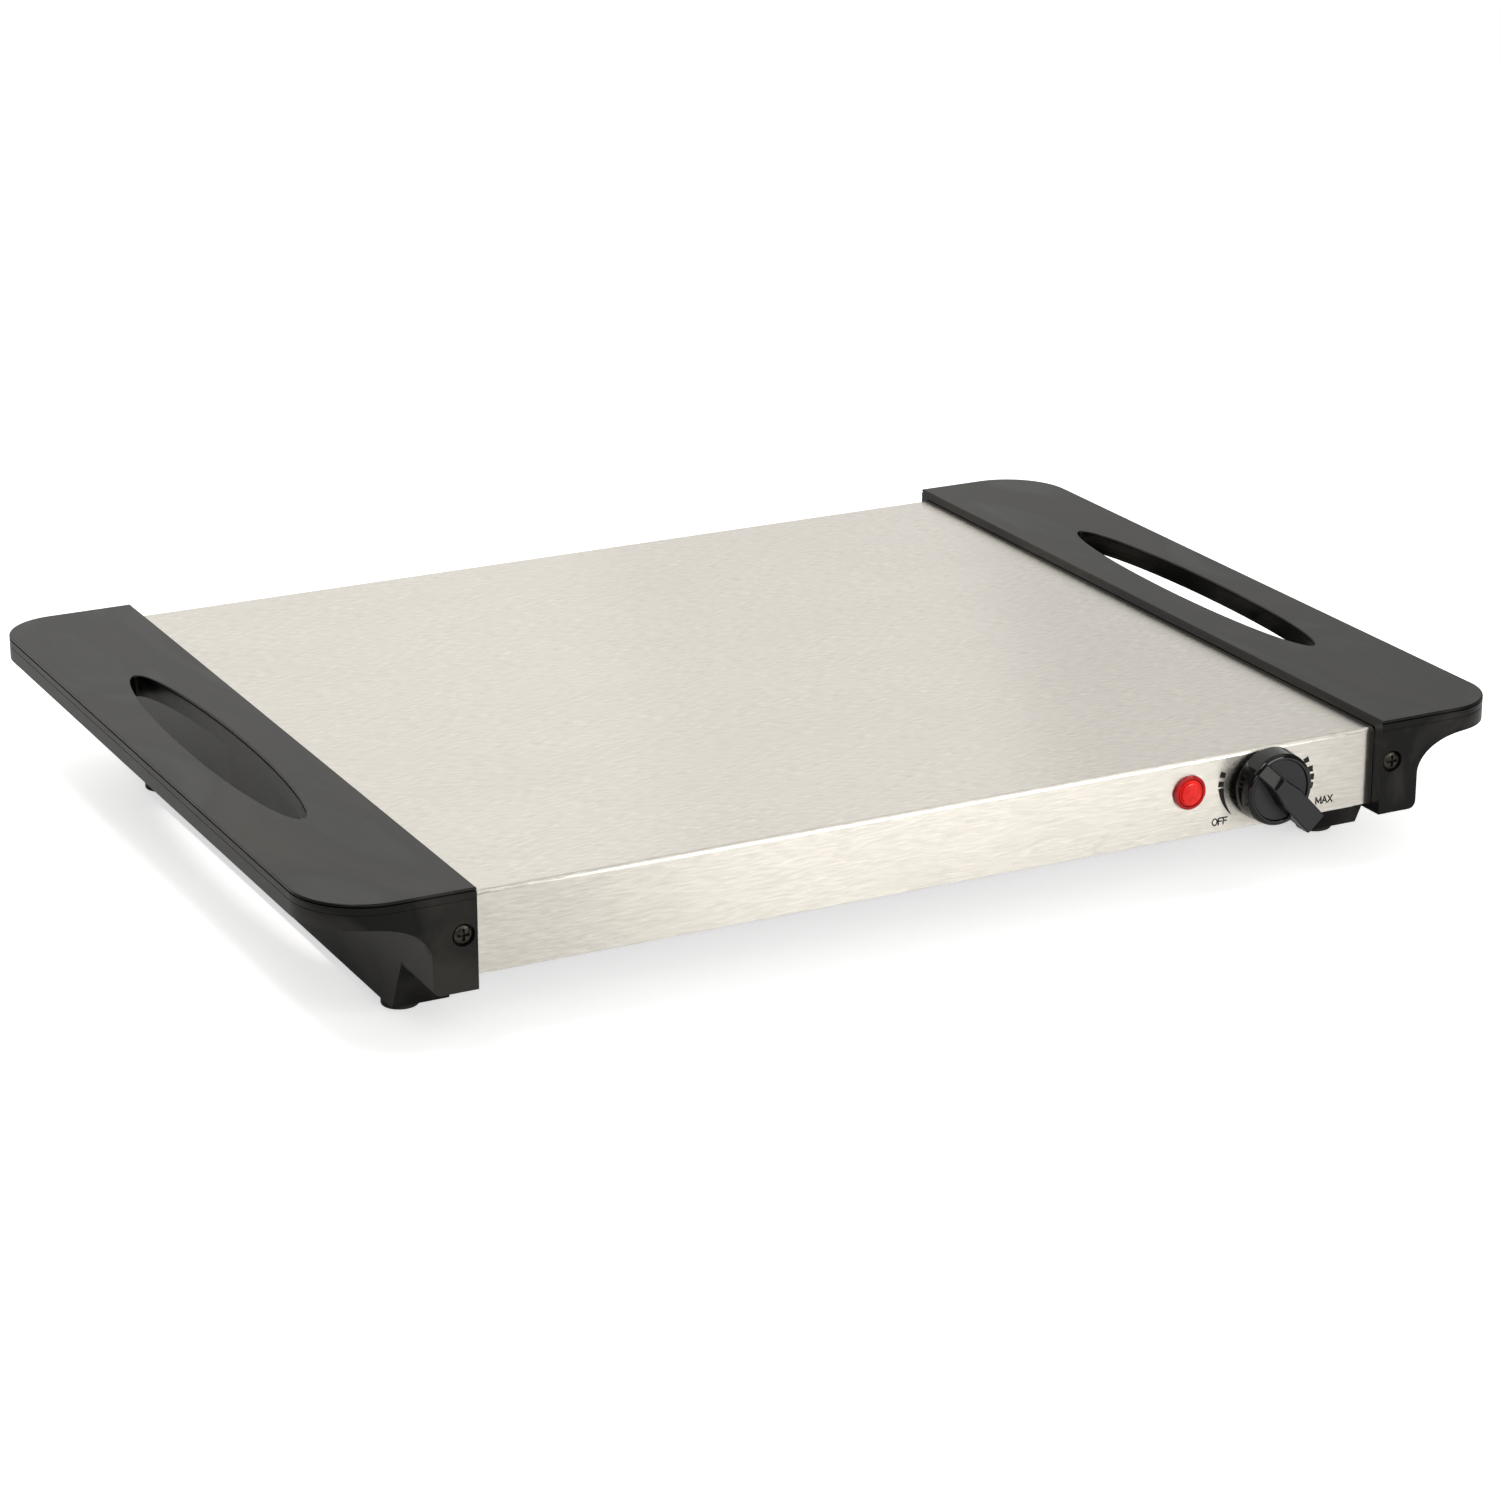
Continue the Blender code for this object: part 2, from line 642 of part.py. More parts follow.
def handle_underside():
    """What the moulding leaves away under the grip, seen from the front."""
    radius = LEG_CORNER_RADIUS
    below = LEG_BASE_Z - OVERRUN
    beyond = HANDLE_OUTER_X + OVERRUN
    corner = arc(LEG_OUTER_X - radius, LEG_BASE_Z + radius, radius, radius, -90, 0, ARC_STEPS // 2)
    scoop_z = GRIP_BASE_Z - SCOOP_HEIGHT
    scoop = arc(LEG_OUTER_X + SCOOP_WIDTH, scoop_z, SCOOP_WIDTH, SCOOP_HEIGHT, 180, 90)
    return [(LEG_OUTER_X - radius, below), *corner, *scoop, (beyond, GRIP_BASE_Z), (beyond, below)]


def handle_cavity():
    """The hollow under the grip, which leaves the top, the rim and the skirt round the finger slot."""
    points = corner_plan(LEG_OUTER_X, HANDLE_WALL, SHELL_DEPTH / 2 + GAP)
    top = SHELL_TOP_Z + GAP
    bottom = GRIP_BASE_Z - SCOOP_HEIGHT - OVERRUN
    hollow = outline("handle_hollow", points, "Z", bottom, top)
    wall = SLOT_SKIRT_WALL
    ring = ellipse(SLOT_X, 0, SLOT_WIDTH / 2 + wall, SLOT_LENGTH / 2 + wall, SLOT_SIDES)
    skirt = outline("slot_skirt", ring, "Z", HANDLE_TOP_Z - SLOT_SKIRT_HEIGHT, HANDLE_TOP_Z)
    combine(hollow, skirt)
    return place("handle_cavity", baked(hollow, skirt))


def handle_runner():
    top = SHELL_DEPTH / 2 - RUNNER_TOP_SETBACK
    base = SHELL_DEPTH / 2 - RUNNER_BASE_SETBACK
    points = [(-base, RUNNER_BASE_Z), (base, RUNNER_BASE_Z), (top, SHELL_BASE_Z), (-top, SHELL_BASE_Z)]
    return outline("runner", points, "X", LEG_OUTER_X - RUNNER_WIDTH, LEG_OUTER_X)


def handle_holes():
    """Screw recesses and holes, foot pilot holes and the runner's hollow."""
    tools = []
    recess = [
        (0, HANDLE_PROUD + OVERRUN),
        (HANDLE_RECESS_RADIUS, HANDLE_PROUD + OVERRUN),
        (HANDLE_RECESS_RADIUS, HANDLE_PROUD - HANDLE_RECESS_DEPTH),
        (HANDLE_SCREW_SHANK + SCREW_HOLE_PLAY, HANDLE_PROUD - HANDLE_RECESS_DEPTH),
        (HANDLE_SCREW_SHANK + SCREW_HOLE_PLAY, -OVERRUN),
        (0, -OVERRUN),
    ]
    for side, facing in ((-1, FACE_FRONT), (1, FACE_BACK)):
        at = Matrix.Translation((HANDLE_SCREW_X, side * SHELL_DEPTH / 2, HANDLE_SCREW_Z))
        tools.append(turned("screw_recess", recess, at @ facing))
        y = side * FOOT_Y_OFFSET
        low, high = RUNNER_BASE_Z - OVERRUN, FOOT_RECESS_DEPTH + FOOT_SCREW_LENGTH + GAP
        tools.append(rod("foot_pilot", LARGE_SCREW_SHANK + SCREW_HOLE_PLAY, (FOOT_X, y, low), (FOOT_X, y, high)))
    half = SHELL_DEPTH / 2 - RUNNER_BASE_SETBACK - RUNNER_PAD_LENGTH
    low = (LEG_OUTER_X - RUNNER_WIDTH + RUNNER_WALL, -half, RUNNER_BASE_Z - OVERRUN)
    tools.append(box("runner_hollow", low, (LEG_OUTER_X - RUNNER_WALL, half, LEG_BASE_Z)))
    bpy.context.view_layer.update()
    return cutter_group("handle_holes", tools)


def handle_mesh():
    """The right handle round the tray's middle. The left one is the same moulding turned round."""
    stock = outline_mesh("handle", handle_plan(), "Z", LEG_BASE_Z, HANDLE_TOP_Z)
    shape = bmesh.new()
    shape.from_mesh(stock)
    half = HANDLE_RIM_RADIUS / 2
    rim = [edge for edge in shape.edges if all(vert.co.z > HANDLE_TOP_Z - half for vert in edge.verts)]
    rim = [edge for edge in rim if not all(abs(face.normal.z) > half for face in edge.link_faces)]
    bmesh.ops.bevel(shape, geom=rim, offset=HANDLE_RIM_RADIUS, segments=HANDLE_RIM_STEPS, profile=0.5, affect="EDGES")
    shape.to_mesh(stock)
    shape.free()
    body = place("handle_stock", stock)
    length = HANDLE_HALF_LENGTH + OVERRUN
    inside = SHELL_DEPTH / 2 + GAP
    pocket_low = (HANDLE_INNER_X - RUNNER_WIDTH, -inside, BASE_TOP_Z)
    tools = [
        outline("handle_underside", handle_underside(), "Y", -length, length),
        handle_runner(),
        box("handle_pocket", pocket_low, (SHELL_WIDTH / 2 + GAP, inside, SHELL_TOP_Z + GAP)),
        handle_cavity(),
        outline(
            "finger_slot",
            ellipse(SLOT_X, 0, SLOT_WIDTH / 2, SLOT_LENGTH / 2, SLOT_SIDES),
            "Z",
            GRIP_BASE_Z - SCOOP_HEIGHT,
            HANDLE_TOP_Z + OVERRUN,
        ),
        handle_holes(),
    ]
    for tool in tools:
        combine(body, tool, "UNION" if tool.name == "runner" else "DIFFERENCE")
    return baked(body, *tools)


def make_handles():
    mesh = handle_mesh()
    mesh.materials.clear()
    middle = Matrix.Translation((0, MIDDLE_Y, 0))
    place("handle_right", mesh, "black_moulding", middle)
    place("handle_left", mesh, "black_moulding", middle @ Matrix.Rotation(math.pi, 4, "Z"))


# Screws


def screw_profile(head, head_height, shank, length):
    return [
        (0, head_height),
        (head * 0.7, head_height),
        (head, head_height * 0.5),
        (head, 0),
        (shank, 0),
        (shank, -length),
        (0, -length),
    ]


def screw_mesh(name, head, head_height, shank, length, cross=False):
    """A pan-head screw along Z, its head's underside at the origin."""
    body = turned(name, screw_profile(head, head_height, shank, length), FACE_UP, sides=SMALL_SIDES)
    if not cross:
        return baked(body)
    half, wide = CROSS_LENGTH / 2, CROSS_WIDTH / 2
    low, high = head_height - CROSS_DEPTH, head_height + OVERRUN
    arm = box("cross_arm", (-half, -wide, low), (half, wide, high))
    other = box("cross_other_arm", (-wide, -half, low), (wide, half, high))
    combine(arm, other, "UNION")
    combine(body, arm)
    return baked(body, arm, other)


def make_screws():
    large = (LARGE_SCREW_HEAD, LARGE_SCREW_HEAD_HEIGHT, LARGE_SCREW_SHANK)
    small = (SMALL_SCREW_HEAD, SMALL_SCREW_HEAD_HEIGHT, SMALL_SCREW_SHANK)
    seat = HANDLE_PROUD - HANDLE_RECESS_DEPTH + GAP
    handle = screw_mesh(
        "handle_screw",
        HANDLE_SCREW_HEAD,
        HANDLE_SCREW_HEAD_HEIGHT,
        HANDLE_SCREW_SHANK,
        seat + HANDLE_SCREW_REACH,
        cross=True,
    )
    for x_name, side in (("left", -1), ("right", 1)):
        for y_name, y, facing in (("front", FRONT_Y - seat, FACE_FRONT), ("back", BACK_Y + seat, FACE_BACK)):
            at = Matrix.Translation((side * HANDLE_SCREW_X, y, HANDLE_SCREW_Z))
            place(f"handle_screw_{y_name}_{x_name}", handle, "screw_steel", at @ facing)
    foot = screw_mesh("foot_screw", *large, FOOT_SCREW_LENGTH)
    for name, x, y in foot_places():
        at = Matrix.Translation((x, y, FOOT_RECESS_DEPTH - GAP))
        place(f"foot_screw_{name}", foot, "screw_steel", at @ FACE_DOWN)
    base = screw_mesh("base_screw", *small, SHEET * 2 + GAP * 2 + SMALL_SCREW_REACH)
    for i, (x, y) in enumerate(base_screw_places()):
        at = Matrix.Translation((x, y, BASE_BOTTOM_Z - GAP))
        place(f"base_screw_{i + 1}", base, "screw_steel", at @ FACE_DOWN)
    bracket = screw_mesh("thermostat_screw", *small, GAP + SKIRT_INNER + BRACKET_SHEET)
    for name, side in (("left", -1), ("right", 1)):
        at = Matrix.Translation((KNOB_X + side * THERMOSTAT_SCREW_OFFSET, FRONT_Y - GAP, KNOB_Z))
        place(f"thermostat_screw_{name}", bracket, "screw_steel", at @ FACE_FRONT)
    terminal = screw_mesh("terminal_screw", *large, TERMINAL_HEIGHT + SHEET + GAP * 3 + SMALL_SCREW_REACH)
    y = (TERMINAL_FRONT_Y + TERMINAL_BACK_Y) / 2
    at = Matrix.Translation((TERMINAL_X, y, INSIDE_BASE_Z + TERMINAL_HEIGHT + GAP))
    place("terminal_screw", terminal, "screw_steel", at)
    earth = screw_mesh("earth_stud", *large, SHEET + GAP + SMALL_SCREW_REACH)
    place("earth_stud", earth, "screw_steel", Matrix.Translation((EARTH_X, TERMINAL_FRONT_Y, INSIDE_BASE_Z)))


# Feet


def foot_places():
    for x_name, side in (("left", -1), ("right", 1)):
        for y_name, way in (("front", -1), ("back", 1)):
            yield f"{y_name}_{x_name}", side * FOOT_X, MIDDLE_Y + way * FOOT_Y_OFFSET


def make_feet():
    hole = LARGE_SCREW_SHANK + SCREW_HOLE_PLAY
    profile = [
        (hole, FOOT_HEIGHT),
        (FOOT_RADIUS, FOOT_HEIGHT),
        (FOOT_RADIUS, FOOT_EDGE),
        (FOOT_RADIUS - FOOT_EDGE, 0),
        (FOOT_RECESS_RADIUS, 0),
        (FOOT_RECESS_RADIUS, FOOT_RECESS_DEPTH),
        (hole, FOOT_RECESS_DEPTH),
    ]
    for name, x, y in foot_places():
        turned(f"foot_{name}", profile, Matrix.Translation((x, y, 0)), "rubber", closed=True)


# Knob and thermostat


def knob_profile():
    """The knob without its pointer, from its roof down its outer side and up into its hollow."""
    top = KNOB_STANDOFF + KNOB_BODY_HEIGHT
    floor = top - KNOB_RIM_HEIGHT
    inner = KNOB_FACE_RADIUS - KNOB_RIM_WIDTH
    hollow = KNOB_BASE_RADIUS - KNOB_WALL
    roof = top - KNOB_ROOF
    return [
        (0, floor),
        (inner - KNOB_RIM_HEIGHT, floor),
        (inner, top),
        (KNOB_FACE_RADIUS - KNOB_RIM_HEIGHT, top),
        (KNOB_FACE_RADIUS, floor),
        (KNOB_BASE_RADIUS, KNOB_STANDOFF + KNOB_RIM_HEIGHT),
        (KNOB_BASE_RADIUS - KNOB_RIM_HEIGHT, KNOB_STANDOFF),
        (hollow, KNOB_STANDOFF),
        (hollow, roof),
        (KNOB_HUB_RADIUS, roof),
        (KNOB_HUB_RADIUS, KNOB_STANDOFF),
        (0, KNOB_STANDOFF),
    ]


def pointer_outline():
    """The pointer bar from the side: along the pointer, and out of the panel."""
    base = KNOB_STANDOFF + KNOB_BODY_HEIGHT - KNOB_ROOF / 2
    body_top = KNOB_STANDOFF + KNOB_BODY_HEIGHT
    top = body_top + POINTER_PROUD
    tail = KNOB_FACE_RADIUS - KNOB_RIM_HEIGHT
    return [
        (-tail, base),
        (tail, base),
        (POINTER_REACH, top - POINTER_TIP_HEIGHT),
        (POINTER_REACH, top - POINTER_EDGE),
        (POINTER_REACH - POINTER_EDGE, top),
        (-POINTER_TAIL_START, top),
        (-tail, body_top),
    ]


def make_knob():
    facing = FACE_FRONT @ Matrix.Rotation(-POINTER_REST_ANGLE, 4, "Z")
    body = turned("control_knob_body", knob_profile(), FACE_UP, sides=KNOB_SIDES)
    half = POINTER_WIDTH / 2
    pointer = outline("pointer", pointer_outline(), "X", -half, half)
    edge = pointer.modifiers.new("Edge", "BEVEL")
    edge.width = POINTER_EDGE
    edge.segments = 1
    edge.limit_method = "ANGLE"
    edge.angle_limit = math.radians(60)
    combine(body, pointer, "UNION")
    bore_top = SHAFT_FRONT + GAP
    bore_points = d_outline(SHAFT_RADIUS + GAP, SHAFT_FLAT + GAP)
    bore = outline("shaft_bore", bore_points, "Z", KNOB_STANDOFF - OVERRUN, bore_top)
    combine(body, bore)
    mesh = baked(body, pointer, bore)
    smooth_round(mesh)
    at = Matrix.Translation((KNOB_X, FRONT_Y, KNOB_Z))
    place("control_knob", mesh, "gloss_black", at @ facing)
    make_shaft(at @ facing)


SHAFT_FRONT = KNOB_STANDOFF + KNOB_BODY_HEIGHT - KNOB_ROOF


def make_shaft(matrix):
    """The thermostat's spindle, along its own Z, with a flat where the knob sits."""
    back = -(BODY_FRONT_Y - FRONT_Y) - SHAFT_DEPTH_IN_BODY
    shaft = rod("shaft_stock", SHAFT_RADIUS, (0, 0, back), (0, 0, SHAFT_FRONT))
    low = (-SHAFT_RADIUS, SHAFT_FLAT, SHAFT_FRONT - SHAFT_FLAT_LENGTH)
    flat = box("shaft_flat", low, (SHAFT_RADIUS, SHAFT_RADIUS + OVERRUN, SHAFT_FRONT + OVERRUN))
    combine(shaft, flat)
    place("thermostat_shaft", baked(shaft, flat), "zinc_steel", matrix)


def make_thermostat():
    half = BRACKET_WIDTH / 2
    y = FRONT_Y + SKIRT_INNER
    low = (KNOB_X - half, y, KNOB_Z - BRACKET_HEIGHT / 2)
    high = (KNOB_X + half, y + BRACKET_SHEET, KNOB_Z + BRACKET_HEIGHT / 2)
    bracket = box("thermostat_bracket", low, high, "zinc_steel")
    y0, y1 = y - OVERRUN, BODY_FRONT_Y + OVERRUN
    holes = [rod("bush_hole", SHAFT_HOLE_RADIUS, (KNOB_X, y0, KNOB_Z), (KNOB_X, y1, KNOB_Z))]
    for side in (-1, 1):
        x = KNOB_X + side * THERMOSTAT_SCREW_OFFSET
        radius = SMALL_SCREW_SHANK + SCREW_HOLE_PLAY
        holes.append(rod("tapped_hole", radius, (x, y0, KNOB_Z), (x, y1, KNOB_Z)))
    combine(bracket, cutter_group("bracket_holes", holes))
    half = THERMOSTAT_WIDTH / 2
    low = (KNOB_X - half, BODY_FRONT_Y, KNOB_Z - THERMOSTAT_HEIGHT / 2)
    high = (KNOB_X + half, BODY_BACK_Y, KNOB_Z + THERMOSTAT_HEIGHT / 2)
    body = box("thermostat_body", low, high, "phenolic")
    end = BODY_FRONT_Y + SHAFT_DEPTH_IN_BODY + GAP
    start = BODY_FRONT_Y - OVERRUN
    combine(body, rod("body_bore", SHAFT_RADIUS + GAP, (KNOB_X, start, KNOB_Z), (KNOB_X, end, KNOB_Z)))


# Pilot lamp


def make_lamp():
    matrix = Matrix.Translation((LAMP_X, FRONT_Y, LAMP_Z)) @ FACE_FRONT
    top, edge = LAMP_BEZEL_HEIGHT, LAMP_BEZEL_EDGE
    seat = LAMP_LENS_RADIUS + GAP
    inner = LAMP_TUBE_RADIUS - LAMP_TUBE_WALL
    bezel = [
        (seat, top),
        (LAMP_BEZEL_RADIUS - edge, top),
        (LAMP_BEZEL_RADIUS, top - edge),
        (LAMP_BEZEL_RADIUS, GAP),
        (LAMP_TUBE_RADIUS, GAP),
        (LAMP_TUBE_RADIUS, -LAMP_TUBE_LENGTH),
        (inner, -LAMP_TUBE_LENGTH),
        (inner, top - LAMP_SEAT_DEPTH),
        (seat, top - LAMP_SEAT_DEPTH),
    ]
    turned("lamp_bezel", bezel, matrix, "lamp_red", closed=True)
    base = top - LAMP_SEAT_DEPTH + GAP
    lens_top = base + LAMP_LENS_HEIGHT
    edge = LAMP_LENS_EDGE
    corner = arc(LAMP_LENS_FACE_RADIUS - edge, lens_top - edge, edge, edge, 90, 0, ARC_STEPS // 2)
    shoulder = [(LAMP_LENS_RADIUS, base + edge), (LAMP_LENS_RADIUS, base)]
    lens = [(0, lens_top), *corner, *shoulder, (0, base)]
    turned("lamp_lens", lens, matrix, "lamp_glow")
    body_top = top - LAMP_SEAT_DEPTH - GAP
    tail = -LAMP_TUBE_LENGTH - LAMP_BODY_TAIL
    body = [(0, body_top), (inner - GAP, body_top), (inner - GAP, tail), (0, tail)]
    turned("lamp_body", body, matrix, "pale_plastic", sides=SMALL_SIDES)
    hole = LAMP_TUBE_RADIUS + GAP
    retainer = [
        (hole, -SKIRT_INNER),
        (LAMP_RETAINER_RADIUS, -SKIRT_INNER),
        (LAMP_RETAINER_RADIUS, -SKIRT_INNER - LAMP_RETAINER_HEIGHT),
        (hole, -SKIRT_INNER - LAMP_RETAINER_HEIGHT),
    ]
    turned("lamp_retainer", retainer, matrix, "zinc_steel", closed=True)


# Heating stack


def make_stack():
    half = STACK_WIDTH / 2
    box("spreader_plate", (-half, STACK_FRONT_Y, SPREADER_BASE_Z), (half, STACK_BACK_Y, SPREADER_TOP_Z), "aluminium")
    wall = half - REFLECTOR_SHEET / 2
    floor = REFLECTOR_BASE_Z + REFLECTOR_SHEET / 2
    path = [(-wall, REFLECTOR_TOP_Z), (-wall, floor), (wall, floor), (wall, REFLECTOR_TOP_Z)]
    folded("reflector_tray", path, "Y", STACK_FRONT_Y, STACK_BACK_Y, REFLECTOR_SHEET, "aluminium")
    low = (PAD_MARGIN - half, STACK_FRONT_Y + PAD_MARGIN, PAD_BASE_Z)
    box("insulation_pad", low, (half - PAD_MARGIN, STACK_BACK_Y - PAD_MARGIN, PAD_TOP_Z), "mineral_wool")
    for name, side in (("left", -1), ("right", 1)):
        make_rail(f"pad_rail_{name}", side * RAIL_X)
    for i in range(STRAP_COUNT):
        make_strap(i)


def make_rail(name, x):
    """A hat-section rail that stands on the base plate and carries the pad."""
    low = INSIDE_BASE_Z + RAIL_SHEET / 2
    high = PAD_BASE_Z - GAP - RAIL_SHEET / 2
    half = RAIL_WIDTH / 2
    foot = half + RAIL_FLANGE
    path = [(-foot, low), (-half, low), (-half, high), (half, high), (half, low), (foot, low)]
    path = [(x + a, z) for a, z in path]
    front, back = STACK_FRONT_Y + RAIL_MARGIN, STACK_BACK_Y - RAIL_MARGIN
    folded(name, path, "Y", front, back, RAIL_SHEET, "zinc_steel")


def make_strap(index):
    """A strap under the element's passes, its ends turned up to the spreader plate."""
    half = STACK_WIDTH / 2 - STRAP_SIDE_CLEARANCE
    low = ELEMENT_Z - ELEMENT_RADIUS - GAP - STRAP_SHEET / 2
    high = SPREADER_BASE_Z - GAP - STRAP_SHEET / 2
    tab = half + STRAP_TAB
    path = [(-tab, high), (-half, high), (-half, low), (half, low), (half, high), (tab, high)]
    spacing = (STACK_BACK_Y - STACK_FRONT_Y) / STRAP_COUNT
    y = STACK_FRONT_Y + spacing * (index + 0.5)
    folded(f"element_strap_{index + 1}", path, "Y", y - STRAP_WIDTH / 2, y + STRAP_WIDTH / 2, STRAP_SHEET, "zinc_steel")


def make_element():
    """A serpentine of straight passes and half-round bends, both ends at the front."""
    radius = ELEMENT_PITCH / 2
    near = STACK_FRONT_Y + ELEMENT_TURN_CLEARANCE + radius
    far = STACK_BACK_Y - ELEMENT_TURN_CLEARANCE - radius
    route = [(-ELEMENT_HALF_SPAN, ELEMENT_END_Y)]
    for i in range(ELEMENT_PASSES - 1):
        x = -ELEMENT_HALF_SPAN + (i + 0.5) * ELEMENT_PITCH
        y, way = (far, -1) if i % 2 == 0 else (near, 1)
        route += arc(x, y, radius, radius, 180, 180 + way * 180, BEND_STEPS)
    route.append((ELEMENT_HALF_SPAN, ELEMENT_END_Y))
    tube("heating_element", [(x, y, ELEMENT_Z) for x, y in route], ELEMENT_RADIUS, "element_steel")


# Fuse, terminal block and gland


def make_fuse():
    y = FRONT_Y + FUSE_SETBACK
    half = FUSE_LENGTH / 2
    sheet = FUSE_CLIP_SHEET
    top = SHELL_TOP_Z - SHEET - GAP - sheet / 2
    z = top - sheet / 2 - GAP - FUSE_RADIUS
    rod("thermal_fuse", FUSE_RADIUS, (FUSE_X - half, y, z), (FUSE_X + half, y, z), "aluminium")
    reach = FUSE_RADIUS + GAP + sheet / 2
    path = [(y + reach + FUSE_CLIP_TAB, top), (y - reach, top), (y - reach, z - reach), (y + reach, z - reach)]
    half = FUSE_CLIP_WIDTH / 2
    folded("fuse_clip", path, "X", FUSE_X - half, FUSE_X + half, sheet, "zinc_steel")


def fuse_level():
    return SHELL_TOP_Z - SHEET - GAP * 2 - FUSE_CLIP_SHEET - FUSE_RADIUS


def make_terminal_block():
    half = TERMINAL_WIDTH / 2
    low = (TERMINAL_X - half, TERMINAL_FRONT_Y, INSIDE_BASE_Z)
    high = (TERMINAL_X + half, TERMINAL_BACK_Y, INSIDE_BASE_Z + TERMINAL_HEIGHT)
    block = box("terminal_block", low, high, "pale_plastic")
    y = (TERMINAL_FRONT_Y + TERMINAL_BACK_Y) / 2
    bottom, top = INSIDE_BASE_Z - OVERRUN, INSIDE_BASE_Z + TERMINAL_HEIGHT + OVERRUN
    hole = rod("block_hole", LARGE_SCREW_SHANK + SCREW_HOLE_PLAY, (TERMINAL_X, y, bottom), (TERMINAL_X, y, top))
    combine(block, hole)


def make_gland():
    matrix = Matrix.Translation((TERMINAL_X, BACK_Y, GLAND_Z)) @ FACE_BACK
    lip = GAP + GLAND_FLANGE_HEIGHT
    profile = [
        (GLAND_BORE_RADIUS, lip),
        (GLAND_NECK_RADIUS, lip),
        (GLAND_FLANGE_RADIUS, lip / 2),
        (GLAND_FLANGE_RADIUS, GAP),
        (GLAND_NECK_RADIUS, GAP),
        (GLAND_NECK_RADIUS, -GLAND_NECK_LENGTH),
        (GLAND_BORE_RADIUS, -GLAND_NECK_LENGTH),
    ]
    turned("cord_gland", profile, matrix, "black_moulding", closed=True)
    hole = GLAND_NECK_RADIUS + GAP
    nut = rod(
        "gland_nut",
        GLAND_NUT_RADIUS,
        (TERMINAL_X, BACK_Y - SKIRT_INNER - GLAND_NUT_HEIGHT, GLAND_Z),
        (TERMINAL_X, BACK_Y - SKIRT_INNER, GLAND_Z),
        "black_moulding",
        HEX_SIDES,
    )
    y0 = BACK_Y - SKIRT_INNER - GLAND_NUT_HEIGHT - OVERRUN
    combine(nut, rod("nut_hole", hole, (TERMINAL_X, y0, GLAND_Z), (TERMINAL_X, BACK_Y, GLAND_Z)))


# Leads


def lead(name, finish_name, *points):
    tube(name, rounded_route(points), LEAD_RADIUS, finish_name)


def make_leads():
    make_supply_leads()
    make_element_leads()
    make_lamp_lead()
    make_earth_lead()


def make_supply_leads():
    """From the terminal block forward under the pad, to the thermostat and to the fuse."""
    low = INSIDE_BASE_Z + LEAD_LEVEL
    start = TERMINAL_FRONT_Y - GAP
    live_x = TERMINAL_X + TERMINAL_WIDTH / 3
    tap_z = KNOB_Z - THERMOSTAT_HEIGHT / 3
    lead(
        "live_lead",
        "brown_lead",
        (live_x, start, low),
        (live_x, STACK_FRONT_Y + LEAD_BEND * 3, low),
        (KNOB_X, STACK_FRONT_Y + LEAD_BEND * 0.75, low),
        (KNOB_X, STACK_FRONT_Y - LEAD_BEND / 2, tap_z),
        (KNOB_X, BODY_BACK_Y + GAP, tap_z),
    )
    neutral_x = TERMINAL_X - TERMINAL_WIDTH / 3
    fuse_y, fuse_z = FRONT_Y + FUSE_SETBACK, fuse_level()
    fuse_end = FUSE_X + FUSE_LENGTH / 2 + GAP
    lead(
        "neutral_lead",
        "blue_lead",
        (neutral_x, start, low),
        (neutral_x, STACK_FRONT_Y - LEAD_BEND, low),
        (neutral_x - LEAD_BEND * 2, STACK_FRONT_Y - LEAD_BEND, low),
        (fuse_end + LEAD_BEND * 2, fuse_y, fuse_z),
        (fuse_end, fuse_y, fuse_z),
    )


def make_element_leads():
    """From the thermostat and from the fuse round to the two ends of the element."""
    turn_y = ELEMENT_END_Y - LEAD_BEND * 1.25
    behind_y = BODY_BACK_Y + LEAD_BEND * 0.75
    lead(
        "element_lead",
        "white_lead",
        (KNOB_X, BODY_BACK_Y + GAP, KNOB_Z),
        (KNOB_X, behind_y, KNOB_Z),
        (ELEMENT_HALF_SPAN, behind_y, KNOB_Z),
        (ELEMENT_HALF_SPAN, turn_y, KNOB_Z),
        (ELEMENT_HALF_SPAN, turn_y, ELEMENT_Z),
        (ELEMENT_HALF_SPAN, ELEMENT_END_Y - GAP, ELEMENT_Z),
    )
    fuse_y, fuse_z = FRONT_Y + FUSE_SETBACK, fuse_level()
    lead(
        "fuse_lead",
        "white_lead",
        (FUSE_X - FUSE_LENGTH / 2 - GAP, fuse_y, fuse_z),
        (LEAD_BEND * 3.5 - ELEMENT_HALF_SPAN, fuse_y, fuse_z),
        (LEAD_BEND * 2 - ELEMENT_HALF_SPAN, turn_y, ELEMENT_Z),
        (-ELEMENT_HALF_SPAN, turn_y, ELEMENT_Z),
        (-ELEMENT_HALF_SPAN, ELEMENT_END_Y - GAP, ELEMENT_Z),
    )


def make_lamp_lead():
    start = FRONT_Y + LAMP_TUBE_LENGTH + LAMP_BODY_TAIL + GAP
    behind_y = BODY_BACK_Y + LEAD_BEND * 0.75
    tap_x = KNOB_X - THERMOSTAT_WIDTH / 3
    tap_z = KNOB_Z - THERMOSTAT_HEIGHT / 3
    lead(
        "lamp_lead",
        "white_lead",
        (LAMP_X, start, LAMP_Z),
        (LAMP_X, start + LEAD_BEND, LAMP_Z),
        (LAMP_X + LEAD_BEND, behind_y, tap_z),
        (tap_x, behind_y, tap_z),
        (tap_x, BODY_BACK_Y + GAP, tap_z),
    )


